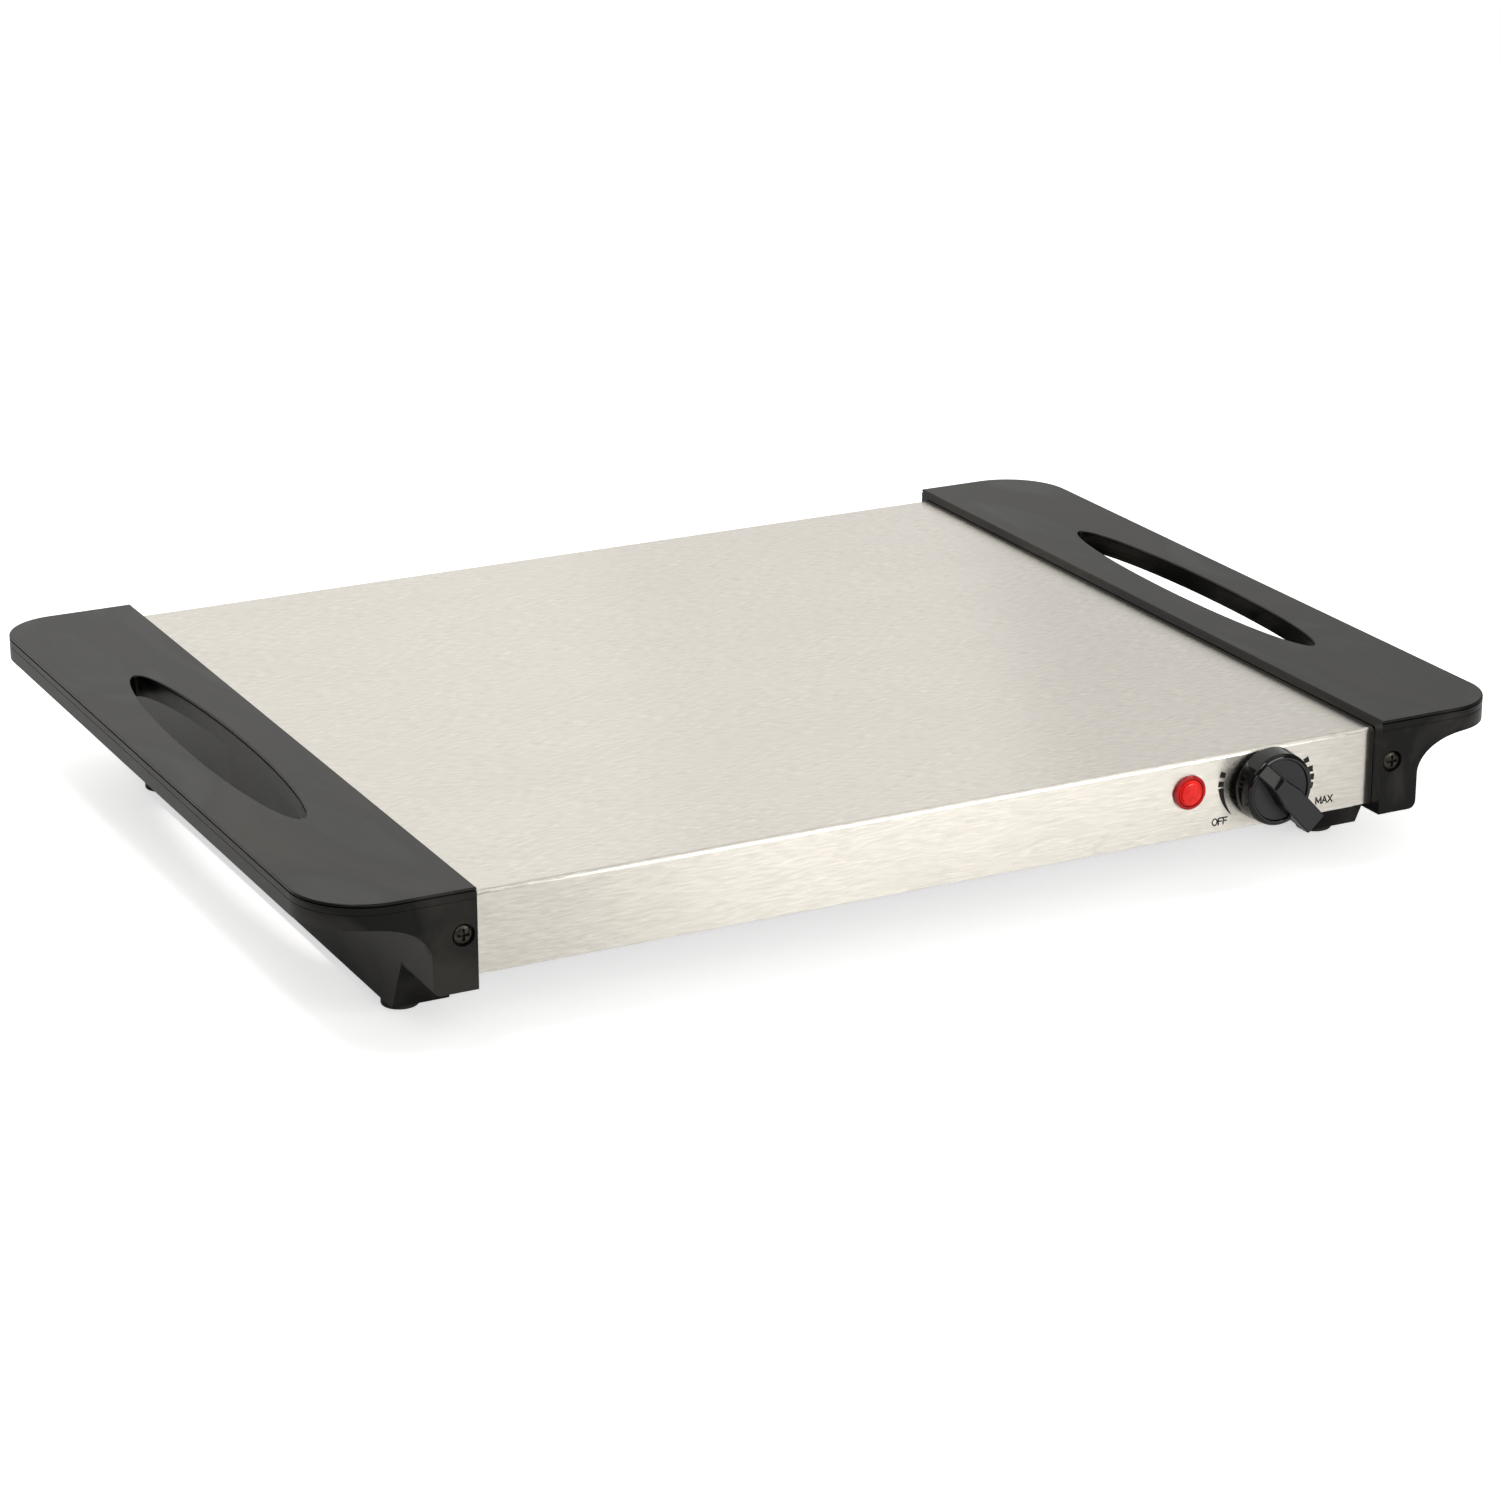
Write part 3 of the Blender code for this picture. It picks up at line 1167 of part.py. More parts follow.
def make_earth_lead():
    low = INSIDE_BASE_Z + LEAD_LEVEL
    y = TERMINAL_FRONT_Y + LEAD_BEND
    end_y = TERMINAL_FRONT_Y + LARGE_SCREW_HEAD + GAP
    lead(
        "earth_lead",
        "green_lead",
        (TERMINAL_X + TERMINAL_WIDTH / 2 + GAP, y, low),
        (EARTH_X, y, low),
        (EARTH_X, end_y, INSIDE_BASE_Z + LEAD_RADIUS + GAP),
    )


def main():
    clear_scene()
    make_shell()
    make_base_plate()
    make_handles()
    make_feet()
    make_screws()
    make_knob()
    make_thermostat()
    make_lamp()
    make_stack()
    make_element()
    make_fuse()
    make_terminal_block()
    make_gland()
    make_leads()


main()
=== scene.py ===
"""Electric food warmer tray dressed for its photograph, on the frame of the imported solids.

Metres, +Z up, +X to the tray's right as seen from its controls, +Y towards its back.
"""

import json
import math

import bmesh
import bpy
from mathutils import Matrix, Vector

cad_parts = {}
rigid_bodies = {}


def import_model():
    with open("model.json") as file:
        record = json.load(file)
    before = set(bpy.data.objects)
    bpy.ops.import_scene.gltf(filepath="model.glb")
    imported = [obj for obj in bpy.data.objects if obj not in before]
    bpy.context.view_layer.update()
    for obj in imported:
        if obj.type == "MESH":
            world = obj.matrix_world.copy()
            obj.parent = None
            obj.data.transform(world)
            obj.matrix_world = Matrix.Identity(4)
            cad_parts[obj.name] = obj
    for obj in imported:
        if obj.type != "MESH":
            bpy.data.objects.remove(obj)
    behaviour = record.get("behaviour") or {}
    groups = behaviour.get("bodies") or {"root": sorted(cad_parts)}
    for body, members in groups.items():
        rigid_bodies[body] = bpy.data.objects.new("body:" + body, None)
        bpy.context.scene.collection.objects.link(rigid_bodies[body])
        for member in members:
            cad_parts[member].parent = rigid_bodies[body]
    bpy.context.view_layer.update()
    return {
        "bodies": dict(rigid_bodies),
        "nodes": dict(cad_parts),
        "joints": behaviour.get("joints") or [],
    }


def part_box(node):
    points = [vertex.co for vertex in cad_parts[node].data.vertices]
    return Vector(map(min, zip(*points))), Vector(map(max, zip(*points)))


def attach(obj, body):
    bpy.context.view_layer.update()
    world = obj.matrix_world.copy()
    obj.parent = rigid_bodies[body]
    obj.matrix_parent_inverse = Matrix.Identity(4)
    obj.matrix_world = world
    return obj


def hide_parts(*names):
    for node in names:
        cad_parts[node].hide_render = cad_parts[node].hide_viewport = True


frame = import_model()

# How finely shapes are divided, overrun of cutters, clearance between parts, and shading
ROUND_SIDES = 72
SMALL_SIDES = 32
CORNER_STEPS = 20
EDGE_STEPS = 5
CURVE_STEPS = 14
ROUND_PROFILE = 0.5
OVERRUN = 0.002
GAP = 0.0003
SHARP_ANGLE = math.radians(32)

# Places read from the frame
SHELL_LOW, SHELL_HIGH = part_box("tray_shell")
RIGHT_LOW, RIGHT_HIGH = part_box("handle_right")
BASE_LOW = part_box("base_plate")[0]
FRONT_Y, BACK_Y = SHELL_LOW.y, SHELL_HIGH.y
MIDDLE_Y = (FRONT_Y + BACK_Y) / 2
SHELL_BASE_Z, SHELL_TOP_Z = SHELL_LOW.z, SHELL_HIGH.z
SHELL_HALF_DEPTH = (BACK_Y - FRONT_Y) / 2
SHELL_HALF_WIDTH = (SHELL_HIGH.x - SHELL_LOW.x) / 2
HANDLE_OUTER_X, HANDLE_TOP_Z = RIGHT_HIGH.x, RIGHT_HIGH.z
RUNNER_BASE_Z, RUNNER_INNER_X = RIGHT_LOW.z, RIGHT_LOW.x
HANDLE_HALF_LENGTH = RIGHT_HIGH.y - MIDDLE_Y
KNOB_AXIS = frame["joints"][0]["pos_m"]
KNOB_X, KNOB_Z = KNOB_AXIS[0], KNOB_AXIS[2]

# Folded steel shell
SHEET = 0.0008
FOLD_RADIUS = 0.002
FOLD_STEPS = 8
SHELL_FLANGE = 0.010
GLAND_RADIUS = 0.006
BRUSHING_MAP = "Brushing"

# Moulded handles
HANDLE_WIDTH = 0.066
HANDLE_INNER_X = HANDLE_OUTER_X - HANDLE_WIDTH
WIDE_CORNER_RADIUS = 0.032
TIGHT_CORNER_RADIUS = 0.026
RIM_RADIUS = 0.0007
HANDLE_WALL = 0.003
GRIP_HEIGHT = 0.011
LEG_THICKNESS = 0.0195
LEG_DROP = 0.0038
LEG_X = HANDLE_INNER_X + LEG_THICKNESS
LEG_BASE_Z = SHELL_BASE_Z - LEG_DROP
LEG_CORNER_RADIUS = 0.0035
SCOOP_WIDTH = 0.026
SCOOP_HEIGHT = 0.016
SCOOP_BASE_Z = HANDLE_TOP_Z - GRIP_HEIGHT - SCOOP_HEIGHT
RIM_GROOVE = {"depth": 0.0009, "width": 0.0007, "cut": 0.0009}
LOWER_GROOVE = {"depth": 0.0044, "width": 0.0003, "cut": 0.00025}
SLOT_LENGTH = 0.204
SLOT_WIDTH = 0.026
SLOT_EDGE = 0.0007
SLOT_STEP_DEPTHS = (0.0075, 0.0055)
SLOT_STEP = 0.0004
SLOT_GROOVE = {"depth": 0.0010, "width": 0.0009, "cut": 0.0008}
SLOT_SIDES = 96
SLOT_X = HANDLE_OUTER_X - HANDLE_WIDTH / 2
SLOT_SKIRT_WALL = 0.0025
SLOT_SKIRT_HEIGHT = 0.010
RUNNER_WIDTH = 0.025
RUNNER_TOP_SETBACK = 0.026
RUNNER_BASE_SETBACK = 0.038
RUNNER_WALL = 0.003
RUNNER_PAD_LENGTH = 0.030

# Feet
FOOT_RADIUS = 0.008
FOOT_HEIGHT = 0.0057
FOOT_EDGE = 0.0008
FOOT_HOLE = 0.0023
FOOT_RECESS_RADIUS = 0.0044
FOOT_RECESS_DEPTH = 0.0034
FOOT_PILOT_DEPTH = 0.0167

# Screws, with heads and shanks by their radius, and the recesses that the handle screws sit in
HANDLE_SCREW_RISE = 0.020
HANDLE_SCREW_X_INSET = 0.006
HANDLE_SCREW_HEAD = 0.0041
HANDLE_SCREW_HEAD_HEIGHT = 0.0021
HANDLE_SCREW_SHANK = 0.0019
HANDLE_RECESS_RADIUS = 0.0048
HANDLE_RECESS_EDGE = 0.0003
HANDLE_RECESS_DEPTH = 0.0026
HANDLE_SCREW_LENGTH = 0.0117
HANDLE_SCREW_RECESS = 0.0015
BASE_SCREW_HEAD = 0.0028
BASE_SCREW_HEAD_HEIGHT = 0.0006
BASE_SCREW_SHANK = 0.0015
BASE_SCREW_RECESS = 0.0005
BASE_SCREWS = 6
CROSS_REACH_SHARE = 0.634
CROSS_WIDTH = 0.0012

# Control knob
KNOB_STANDOFF = 0.0024
KNOB_BASE_RADIUS = 0.0168
KNOB_FACE_RADIUS = 0.0162
KNOB_BODY_HEIGHT = 0.0100
KNOB_TOP = KNOB_STANDOFF + KNOB_BODY_HEIGHT
KNOB_RIM_WIDTH = 0.0021
KNOB_RIM_HEIGHT = 0.0007
KNOB_CROWN_RADIUS = 0.0018
KNOB_WALL = 0.002
KNOB_ROOF = 0.003
KNOB_HUB_RADIUS = 0.006
POINTER_WIDTH = 0.0104
POINTER_NECK_WIDTH = 0.0056
POINTER_SHOULDER = 0.003
POINTER_DRAFT = 0.08
POINTER_PROUD = 0.006
POINTER_REACH = 0.022
POINTER_TAIL_START = 0.0066
POINTER_TAIL_DROP = 0.0048
POINTER_TIP_HEIGHT = 0.0035
POINTER_EDGE = 0.0006
POINTER_REST_ANGLE = math.radians(137)
SHAFT_RADIUS = 0.003
SHAFT_FLAT = 0.0022
SHAFT_FLAT_LENGTH = 0.008

# Pilot lamp
LAMP_BEZEL_RADIUS = 0.0076
LAMP_BEZEL_HEIGHT = 0.0018
LAMP_BEZEL_EDGE = 0.0006
LAMP_SEAT_DEPTH = 0.0009
LAMP_TUBE_RADIUS = 0.006
LAMP_TUBE_LENGTH = 0.014
LAMP_TUBE_WALL = 0.0012
LAMP_SEAT = LAMP_BEZEL_HEIGHT - LAMP_SEAT_DEPTH
LAMP_LENS_RADIUS = 0.0059
LAMP_LENS_FACE_RADIUS = 0.0049
LAMP_LENS_HEIGHT = 0.002
LAMP_LENS_EDGE = 0.0006

# Dial print and lettering on the front. Angles are in degrees, clockwise from straight up.
PRINT_HEIGHT = 0.00006
PRINT_SINK = 0.00002
DIAL_TICK = 0.0027
DIAL_TICK_DEGREES = 6.4
DIAL_TICK_REACHES = {-83.5: 0.0242, -73: 0.0242, 73: 0.0233, 85: 0.0247, 94: 0.0254, 103: 0.0256}
WEDGE_START, WEDGE_END = -88.5, -125
WEDGE_OUTER = 0.024
WEDGE_INNER = 0.0212
WEDGE_TIP = 0.0206
WEDGE_TIP_WIDTH = 0.0004
LETTER_HEIGHT = 0.0029
LETTER_WIDTHS = {"O": 0.0025, "F": 0.0018, "M": 0.0026, "A": 0.0024, "X": 0.0021}
LETTER_GAP = 0.00065
LETTER_STROKE = 0.00062
LETTER_STROKE_SHARES = {
    "F": [((0, 0), (0, 1)), ((0, 1), (1, 1)), ((0, 0.52), (0.85, 0.52))],
    "M": [((0, 0), (0, 1)), ((0, 1), (0.5, 0.2)), ((0.5, 0.2), (1, 1)), ((1, 1), (1, 0))],
    "A": [((0, 0), (0.5, 1)), ((0.5, 1), (1, 0)), ((0.18, 0.34), (0.82, 0.34))],
    "X": [((0, 0), (1, 1)), ((0, 1), (1, 0))],
}
OFF_X, OFF_RISE = 0.1351, 0.0032
MAX_X, MAX_RISE = 0.1890, 0.0041

# Grain of the materials: its strength and its height
BRUSHING_BUMP = (0.2, 0.00006)
FLOW_BUMP = (0.06, 0.002)
SPARK_BUMP = (0.12, 0.00008)
POLISH_BUMP = (0.02, 0.0004)
RUBBER_BUMP = (0.25, 0.0002)
SPANGLE_BUMP = (0.08, 0.0005)
ROLLING_BUMP = (0.08, 0.0001)
SCALE_BUMP = (0.15, 0.0001)
WOOL_BUMP = (0.6, 0.001)
MOULDING_BUMP = (0.1, 0.0001)
ACRYLIC_BUMP = (0.04, 0.0003)
SCREW_BUMP = (0.1, 0.0001)
INK_BUMP = (0.08, 0.00005)

# Camera, found from the photograph's perspective
CAMERA_LENS = 100.08
CAMERA_SENSOR = 36
CAMERA_YAW = math.radians(27.11)
CAMERA_PITCH = math.radians(19.67)
CAMERA_DISTANCE = 1.8909
CAMERA_NEAR = 0.05
CAMERA_FAR = 60
TARGET_X = 0.0033
TARGET_REACH = 0.18498
TARGET_DROP = 0.0002

# Stage
FLOOR_HALF = 1.45
FLOOR_DROP = 0.0002
FLOOR_SHADE = 0.80
FLOOR_LIFT = 0.6
ROOM_FILL = 0.2

# Soft boxes: where each stands, what it faces, its size and its brightness
WARM_WHITE = (1, 0.985, 0.95)
SOFTBOXES = {
    "key": {"at": (-0.75, -0.35, 1.85), "aim": (0, 0, 0), "size": (0.45, 0.35), "shine": 32},
    "left_top": {"at": (-0.85, 0.35, 1.25), "aim": (0, 0, 0), "size": (0.9, 0.9), "shine": 1.3},
    "overhead": {"at": (0.6, 0.15, 1.5), "aim": (0.6, 0.14, 0), "size": (1.4, 1.2), "shine": 0.7},
    "back": {"at": (-0.1, 1.5, 1.0), "aim": (-0.1, 0, 0), "size": (1.7, 1.5), "shine": 1.1},
    "back_middle": {"at": (0.95, 1.5, 1.0), "aim": (0.95, 0, 0), "size": (0.4, 1.5), "shine": 1.0},
    "back_right": {"at": (1.65, 1.5, 1.0), "aim": (1.65, 0, 0), "size": (1.0, 1.5), "shine": 0.78},
    "edge_strip": {"at": (0.6, -0.85, 1.15), "aim": (0.2, -0.19, 0.07), "size": (1.1, 0.9), "shine": 1.1},
    "knob_card": {"at": (-0.32, -1.4, 0.66), "aim": (0.16, -0.2, 0.05), "size": (0.8, 0.95), "shine": 3},
    "left_low": {"at": (-1.0, 1.25, 0.32), "aim": (-0.3, 0, 0.04), "size": (0.9, 0.55), "shine": 2.5},
    "front_low": {"at": (0.58, -1.25, 0.35), "aim": (0.1, 0, 0), "size": (0.5, 0.5), "shine": 7.4},
}


# Meshes


def mesh_of(name, shape):
    mesh = bpy.data.meshes.new(name)
    bmesh.ops.recalc_face_normals(shape, faces=shape.faces)
    shape.to_mesh(mesh)
    shape.free()
    return mesh


def loft(name, loops):
    """A closed skin over rings of the same count of points, capped at both ends."""
    shape = bmesh.new()
    rings = [[shape.verts.new(point) for point in loop] for loop in loops]
    for lower, upper in zip(rings, rings[1:]):
        for i in range(len(lower)):
            shape.faces.new((lower[i - 1], lower[i], upper[i], upper[i - 1]))
    shape.faces.new(rings[0])
    shape.faces.new(rings[-1])
    return mesh_of(name, shape)


def prism(name, points, axis, low, high):
    """A flat outline, given in the two other axes' order, made solid from low to high along an axis."""
    placed = {
        "X": lambda a, b, c: (c, a, b),
        "Y": lambda a, b, c: (a, c, b),
        "Z": lambda a, b, c: (a, b, c),
    }[axis]
    return loft(name, [[placed(a, b, level) for a, b in points] for level in (low, high)])


def box_mesh(name, low, high):
    shape = bmesh.new()
    low, high = Vector(low), Vector(high)
    bmesh.ops.create_cube(shape, size=1)
    bmesh.ops.transform(shape, matrix=Matrix.Diagonal((*(high - low), 1)), verts=shape.verts)
    bmesh.ops.translate(shape, vec=(low + high) / 2, verts=shape.verts)
    return mesh_of(name, shape)


def turned(name, profile, sides, closed=False):
    """A profile of (radius, height) points turned about Z. Points on the axis become single tips."""
    shape = bmesh.new()
    rings = []
    for radius, height in profile:
        if radius == 0:
            rings.append([shape.verts.new((0, 0, height))] * sides)
            continue
        turn = [math.tau * i / sides for i in range(sides)]
        rings.append([shape.verts.new((radius * math.cos(a), radius * math.sin(a), height)) for a in turn])
    pairs = list(zip(rings, rings[1:]))
    if closed:
        pairs.append((rings[-1], rings[0]))
    for upper, lower in pairs:
        for i in range(sides):
            corners = [upper[i - 1], upper[i], lower[i], lower[i - 1]]
            corners = [vert for k, vert in enumerate(corners) if vert not in corners[:k]]
            shape.faces.new(corners)
    return mesh_of(name, shape)


def combined(mesh, tools):
    """A mesh after exact booleans with (mesh, operation) tools."""
    linked = bpy.context.scene.collection.objects
    body = bpy.data.objects.new("body", mesh)
    linked.link(body)
    helpers = []
    for tool, operation in tools:
        helper = bpy.data.objects.new("tool", tool)
        linked.link(helper)
        helpers.append(helper)
        step = body.modifiers.new("Step", "BOOLEAN")
        step.operation = operation
        step.solver = "EXACT"
        step.object = helper
    bpy.context.view_layer.update()
    graph = bpy.context.evaluated_depsgraph_get()
    made = bpy.data.meshes.new_from_object(body.evaluated_get(graph))
    for item in (body, *helpers):
        bpy.data.objects.remove(item)
    return made


def moved(mesh, matrix):
    mesh.transform(matrix)
    return mesh


def arc(centre_a, centre_b, radius_a, radius_b, start, end, steps=CORNER_STEPS):
    """Points along an arc of a circle or an ellipse, both ends included, angles in degrees."""
    points = []
    for step in range(steps + 1):
        angle = math.radians(start + (end - start) * step / steps)
        points.append((centre_a + radius_a * math.cos(angle), centre_b + radius_b * math.sin(angle)))
    return points


def rounding(centre_a, centre_b, radius, start, end):
    """Points along a small rounded edge."""
    return arc(centre_a, centre_b, radius, radius, start, end, EDGE_STEPS)


def ellipse(centre_a, centre_b, radius_a, radius_b, sides):
    return arc(centre_a, centre_b, radius_a, radius_b, 0, 360, sides)[:-1]


def rounded_off(name, shape, edges, radius, steps):
    """The shape as a mesh, with some of its edges rounded."""
    bmesh.ops.bevel(shape, geom=edges, offset=radius, segments=steps, profile=ROUND_PROFILE, affect="EDGES")
    return mesh_of(name, shape)


def piece(name, mesh, slot, stands_for=(), body="tray", matrix=None, finish=None):
    """Link a finished mesh as a named piece that rides on a body and stands for CAD nodes.

    It wears its slot's look, or the finish named instead.
    """
    made = bpy.data.objects.new(name, mesh)
    bpy.context.scene.collection.objects.link(made)
    if matrix is not None:
        made.matrix_world = matrix
    mesh.materials.clear()
    mesh.materials.append(LOOKS[finish or slot])
    mesh.shade_smooth()
    mesh.set_sharp_from_angle(angle=SHARP_ANGLE)
    normals = made.modifiers.new("Normals", "WEIGHTED_NORMAL")
    normals.keep_sharp = True
    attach(made, body)
    if stands_for:
        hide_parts(*stands_for)


def middle(node):
    low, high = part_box(node)
    return (low + high) / 2


# Turns that point a shape's Z axis out of the front, out of the back or down
FACE_FRONT = Matrix.Rotation(math.pi / 2, 4, "X")
FACE_BACK = Matrix.Rotation(-math.pi / 2, 4, "X")
FACE_DOWN = Matrix.Rotation(math.pi, 4, "X")


# Materials


def look(name, colour, roughness, metallic=0.0):
    made = bpy.data.materials.new(name)
    made.use_nodes = True
    shader = made.node_tree.nodes["Principled BSDF"]
    shader.inputs["Base Color"].default_value = (*colour, 1)
    shader.inputs["Roughness"].default_value = roughness
    shader.inputs["Metallic"].default_value = metallic
    return made, made.node_tree, shader


def grain(tree, scale, detail, stretch=(1, 1, 1), distortion=0):
    """Noise over the object's own coordinates, drawn out where the stretch is small."""
    coordinates = tree.nodes.new("ShaderNodeTexCoord")
    mapping = tree.nodes.new("ShaderNodeMapping")
    mapping.inputs["Scale"].default_value = stretch
    noise = tree.nodes.new("ShaderNodeTexNoise")
    noise.inputs["Scale"].default_value = scale
    noise.inputs["Detail"].default_value = detail
    noise.inputs["Distortion"].default_value = distortion
    tree.links.new(coordinates.outputs["Object"], mapping.inputs["Vector"])
    tree.links.new(mapping.outputs["Vector"], noise.inputs["Vector"])
    return noise.outputs["Fac"]


def colour_by(tree, shader, fac, dark, light, start=0.3, end=0.7):
    ramp = tree.nodes.new("ShaderNodeValToRGB")
    low, high = ramp.color_ramp.elements
    low.position, high.position = start, end
    low.color, high.color = (*dark, 1), (*light, 1)
    tree.links.new(fac, ramp.inputs["Fac"])
    tree.links.new(ramp.outputs["Color"], shader.inputs["Base Color"])


def roughness_by(tree, shader, fac, low, high, start=0.3, end=0.7):
    span = tree.nodes.new("ShaderNodeMapRange")
    span.inputs["From Min"].default_value = start
    span.inputs["From Max"].default_value = end
    span.inputs["To Min"].default_value = low
    span.inputs["To Max"].default_value = high
    tree.links.new(fac, span.inputs["Value"])
    tree.links.new(span.outputs["Result"], shader.inputs["Roughness"])


def bump_by(tree, shader, *layers):
    """Bumps over each other, each layer a noise with its (strength, height)."""
    below = None
    for fac, (strength, height) in layers:
        bump = tree.nodes.new("ShaderNodeBump")
        bump.inputs["Strength"].default_value = strength
        bump.inputs["Distance"].default_value = height
        tree.links.new(fac, bump.inputs["Height"])
        if below is not None:
            tree.links.new(below, bump.inputs["Normal"])
        below = bump.outputs["Normal"]
    tree.links.new(below, shader.inputs["Normal"])


def brushed_steel():
    """Steel brushed along X: short streaks, a wide sheen across them and faint handling marks."""
    made, tree, shader = look("brushed steel", colour=(0.66, 0.63, 0.58), roughness=0.3, metallic=1)
    streaks = grain(tree, scale=1500, detail=3, stretch=(0.12, 1, 1), distortion=0.3)
    marks = grain(tree, scale=22, detail=4, stretch=(0.5, 1, 1), distortion=0.6)
    colour_by(tree, shader, streaks, dark=(0.585, 0.56, 0.515), light=(0.725, 0.695, 0.645))
    roughness_by(tree, shader, marks, low=0.235, high=0.255)
    bump_by(tree, shader, (streaks, BRUSHING_BUMP))
    shader.inputs["Anisotropic"].default_value = 0.95
    shader.inputs["Anisotropic Rotation"].default_value = 0.25
    tangent = tree.nodes.new("ShaderNodeTangent")
    tangent.direction_type = "UV_MAP"
    tangent.uv_map = BRUSHING_MAP
    tree.links.new(tangent.outputs["Tangent"], shader.inputs["Tangent"])
    return made


def black_moulding():
    """Satin moulded plastic: fine spark grain, faint flow marks and uneven sheen."""
    made, tree, shader = look("black moulding", colour=(0.007, 0.007, 0.006), roughness=0.36)
    flow = grain(tree, scale=16, detail=4, stretch=(1, 0.35, 1), distortion=2.5)
    fine = grain(tree, scale=2600, detail=2)
    colour_by(tree, shader, flow, dark=(0.001, 0.001, 0.0008), light=(0.020, 0.019, 0.016),
              start=0.46, end=0.66)
    roughness_by(tree, shader, flow, low=0.31, high=0.42)
    bump_by(tree, shader, (flow, FLOW_BUMP), (fine, SPARK_BUMP))
    shader.inputs["Specular IOR Level"].default_value = 0.16
    return made


def gloss_black():
    """Polished black plastic, satin on faces square to its own Z, where a little paler colour is painted
    sheen.
    """
    made, tree, shader = look("gloss black", colour=(0.004, 0.004, 0.004), roughness=0.09)
    coordinates = tree.nodes.new("ShaderNodeTexCoord")
    parts = tree.nodes.new("ShaderNodeSeparateXYZ")
    tree.links.new(coordinates.outputs["Normal"], parts.inputs["Vector"])
    haze = grain(tree, scale=160, detail=4)
    satin_and_painted_sheen = parts.outputs["Z"]
    # Faces square to Z get a paler colour, which is painted sheen, and a higher roughness for their real
    # satin finish
    colour_by(tree, shader, satin_and_painted_sheen, dark=(0.002, 0.002, 0.002), light=(0.015, 0.015, 0.017),
              start=0.975, end=0.995)
    roughness_by(tree, shader, satin_and_painted_sheen, low=0.05, high=0.36, start=0.975, end=0.995)
    bump_by(tree, shader, (haze, POLISH_BUMP))
    shader.inputs["Specular IOR Level"].default_value = 0.3
    return made


def rubber():
    made, tree, shader = look("foot rubber", colour=(0.016, 0.016, 0.016), roughness=0.75)
    speckle = grain(tree, scale=1300, detail=4)
    colour_by(tree, shader, speckle, dark=(0.012, 0.012, 0.012), light=(0.024, 0.024, 0.023))
    roughness_by(tree, shader, speckle, low=0.66, high=0.84)
    bump_by(tree, shader, (speckle, RUBBER_BUMP))
    return made


def zinc_steel():
    """Zinc-plated sheet with a soft spangle."""
    made, tree, shader = look("zinc steel", colour=(0.55, 0.56, 0.57), roughness=0.42, metallic=1)
    coordinates = tree.nodes.new("ShaderNodeTexCoord")
    cells = tree.nodes.new("ShaderNodeTexVoronoi")
    cells.inputs["Scale"].default_value = 130
    cells.inputs["Randomness"].default_value = 0.9
    tree.links.new(coordinates.outputs["Object"], cells.inputs["Vector"])
    haze = grain(tree, scale=60, detail=4)
    distance = cells.outputs["Distance"]
    colour_by(tree, shader, distance, dark=(0.60, 0.61, 0.62), light=(0.46, 0.47, 0.49), start=0, end=1)
    roughness_by(tree, shader, haze, low=0.34, high=0.52)
    bump_by(tree, shader, (haze, SPANGLE_BUMP))
    return made


def aluminium():
    made, tree, shader = look("rolled aluminium", colour=(0.78, 0.78, 0.79), roughness=0.34, metallic=1)
    rolled = grain(tree, scale=700, detail=3, stretch=(1, 0.06, 1))
    colour_by(tree, shader, rolled, dark=(0.72, 0.72, 0.73), light=(0.82, 0.82, 0.83))
    roughness_by(tree, shader, rolled, low=0.28, high=0.42)
    bump_by(tree, shader, (rolled, ROLLING_BUMP))
    return made


def element_steel():
    """Oxidised element sheath with blue and straw heat tints."""
    made, tree, shader = look("element sheath", colour=(0.18, 0.17, 0.16), roughness=0.5, metallic=1)
    tint = grain(tree, scale=26, detail=3, distortion=0.8)
    scale = grain(tree, scale=900, detail=3)
    colour_by(tree, shader, tint, dark=(0.13, 0.14, 0.18), light=(0.26, 0.21, 0.15))
    roughness_by(tree, shader, scale, low=0.42, high=0.62)
    bump_by(tree, shader, (scale, SCALE_BUMP))
    return made


def mineral_wool():
    made, tree, shader = look("mineral wool", colour=(0.72, 0.68, 0.54), roughness=0.95)
    fibres = grain(tree, scale=420, detail=6, stretch=(0.25, 1, 1), distortion=1.5)
    colour_by(tree, shader, fibres, dark=(0.58, 0.53, 0.40), light=(0.80, 0.76, 0.63))
    roughness_by(tree, shader, fibres, low=0.9, high=1)
    bump_by(tree, shader, (fibres, WOOL_BUMP))
    return made


def plain_moulding(name, dark, light, low, high):
    """A small insulating moulding: two near shades, uneven sheen and a fine grain."""
    made, tree, shader = look(name, light, high)
    mottle = grain(tree, scale=140, detail=4)
    fine = grain(tree, scale=1800, detail=2)
    colour_by(tree, shader, mottle, dark, light)
    roughness_by(tree, shader, mottle, low, high)
    bump_by(tree, shader, (fine, MOULDING_BUMP))
    return made


def lamp_red(name, dark, light, glow):
    """Polished red acrylic: two near shades and a little light carried inside it."""
    made, tree, shader = look(name, light, roughness=0.08)
    depth = grain(tree, scale=260, detail=2)
    colour_by(tree, shader, depth, dark, light)
    roughness_by(tree, shader, depth, low=0.05, high=0.14)
    bump_by(tree, shader, (depth, ACRYLIC_BUMP))
    shader.inputs["Specular IOR Level"].default_value = 0.3
    shader.inputs["Emission Color"].default_value = (*light, 1)
    shader.inputs["Emission Strength"].default_value = glow
    return made


def screw_steel():
    """Oiled dark screw with brownish smears."""
    made, tree, shader = look("screw steel", colour=(0.09, 0.08, 0.07), roughness=0.3, metallic=1)
    smear = grain(tree, scale=500, detail=4, stretch=(1, 0.4, 1))
    colour_by(tree, shader, smear, dark=(0.018, 0.016, 0.014), light=(0.065, 0.058, 0.051))
    roughness_by(tree, shader, smear, low=0.25, high=0.45)
    bump_by(tree, shader, (smear, SCREW_BUMP))
    return made


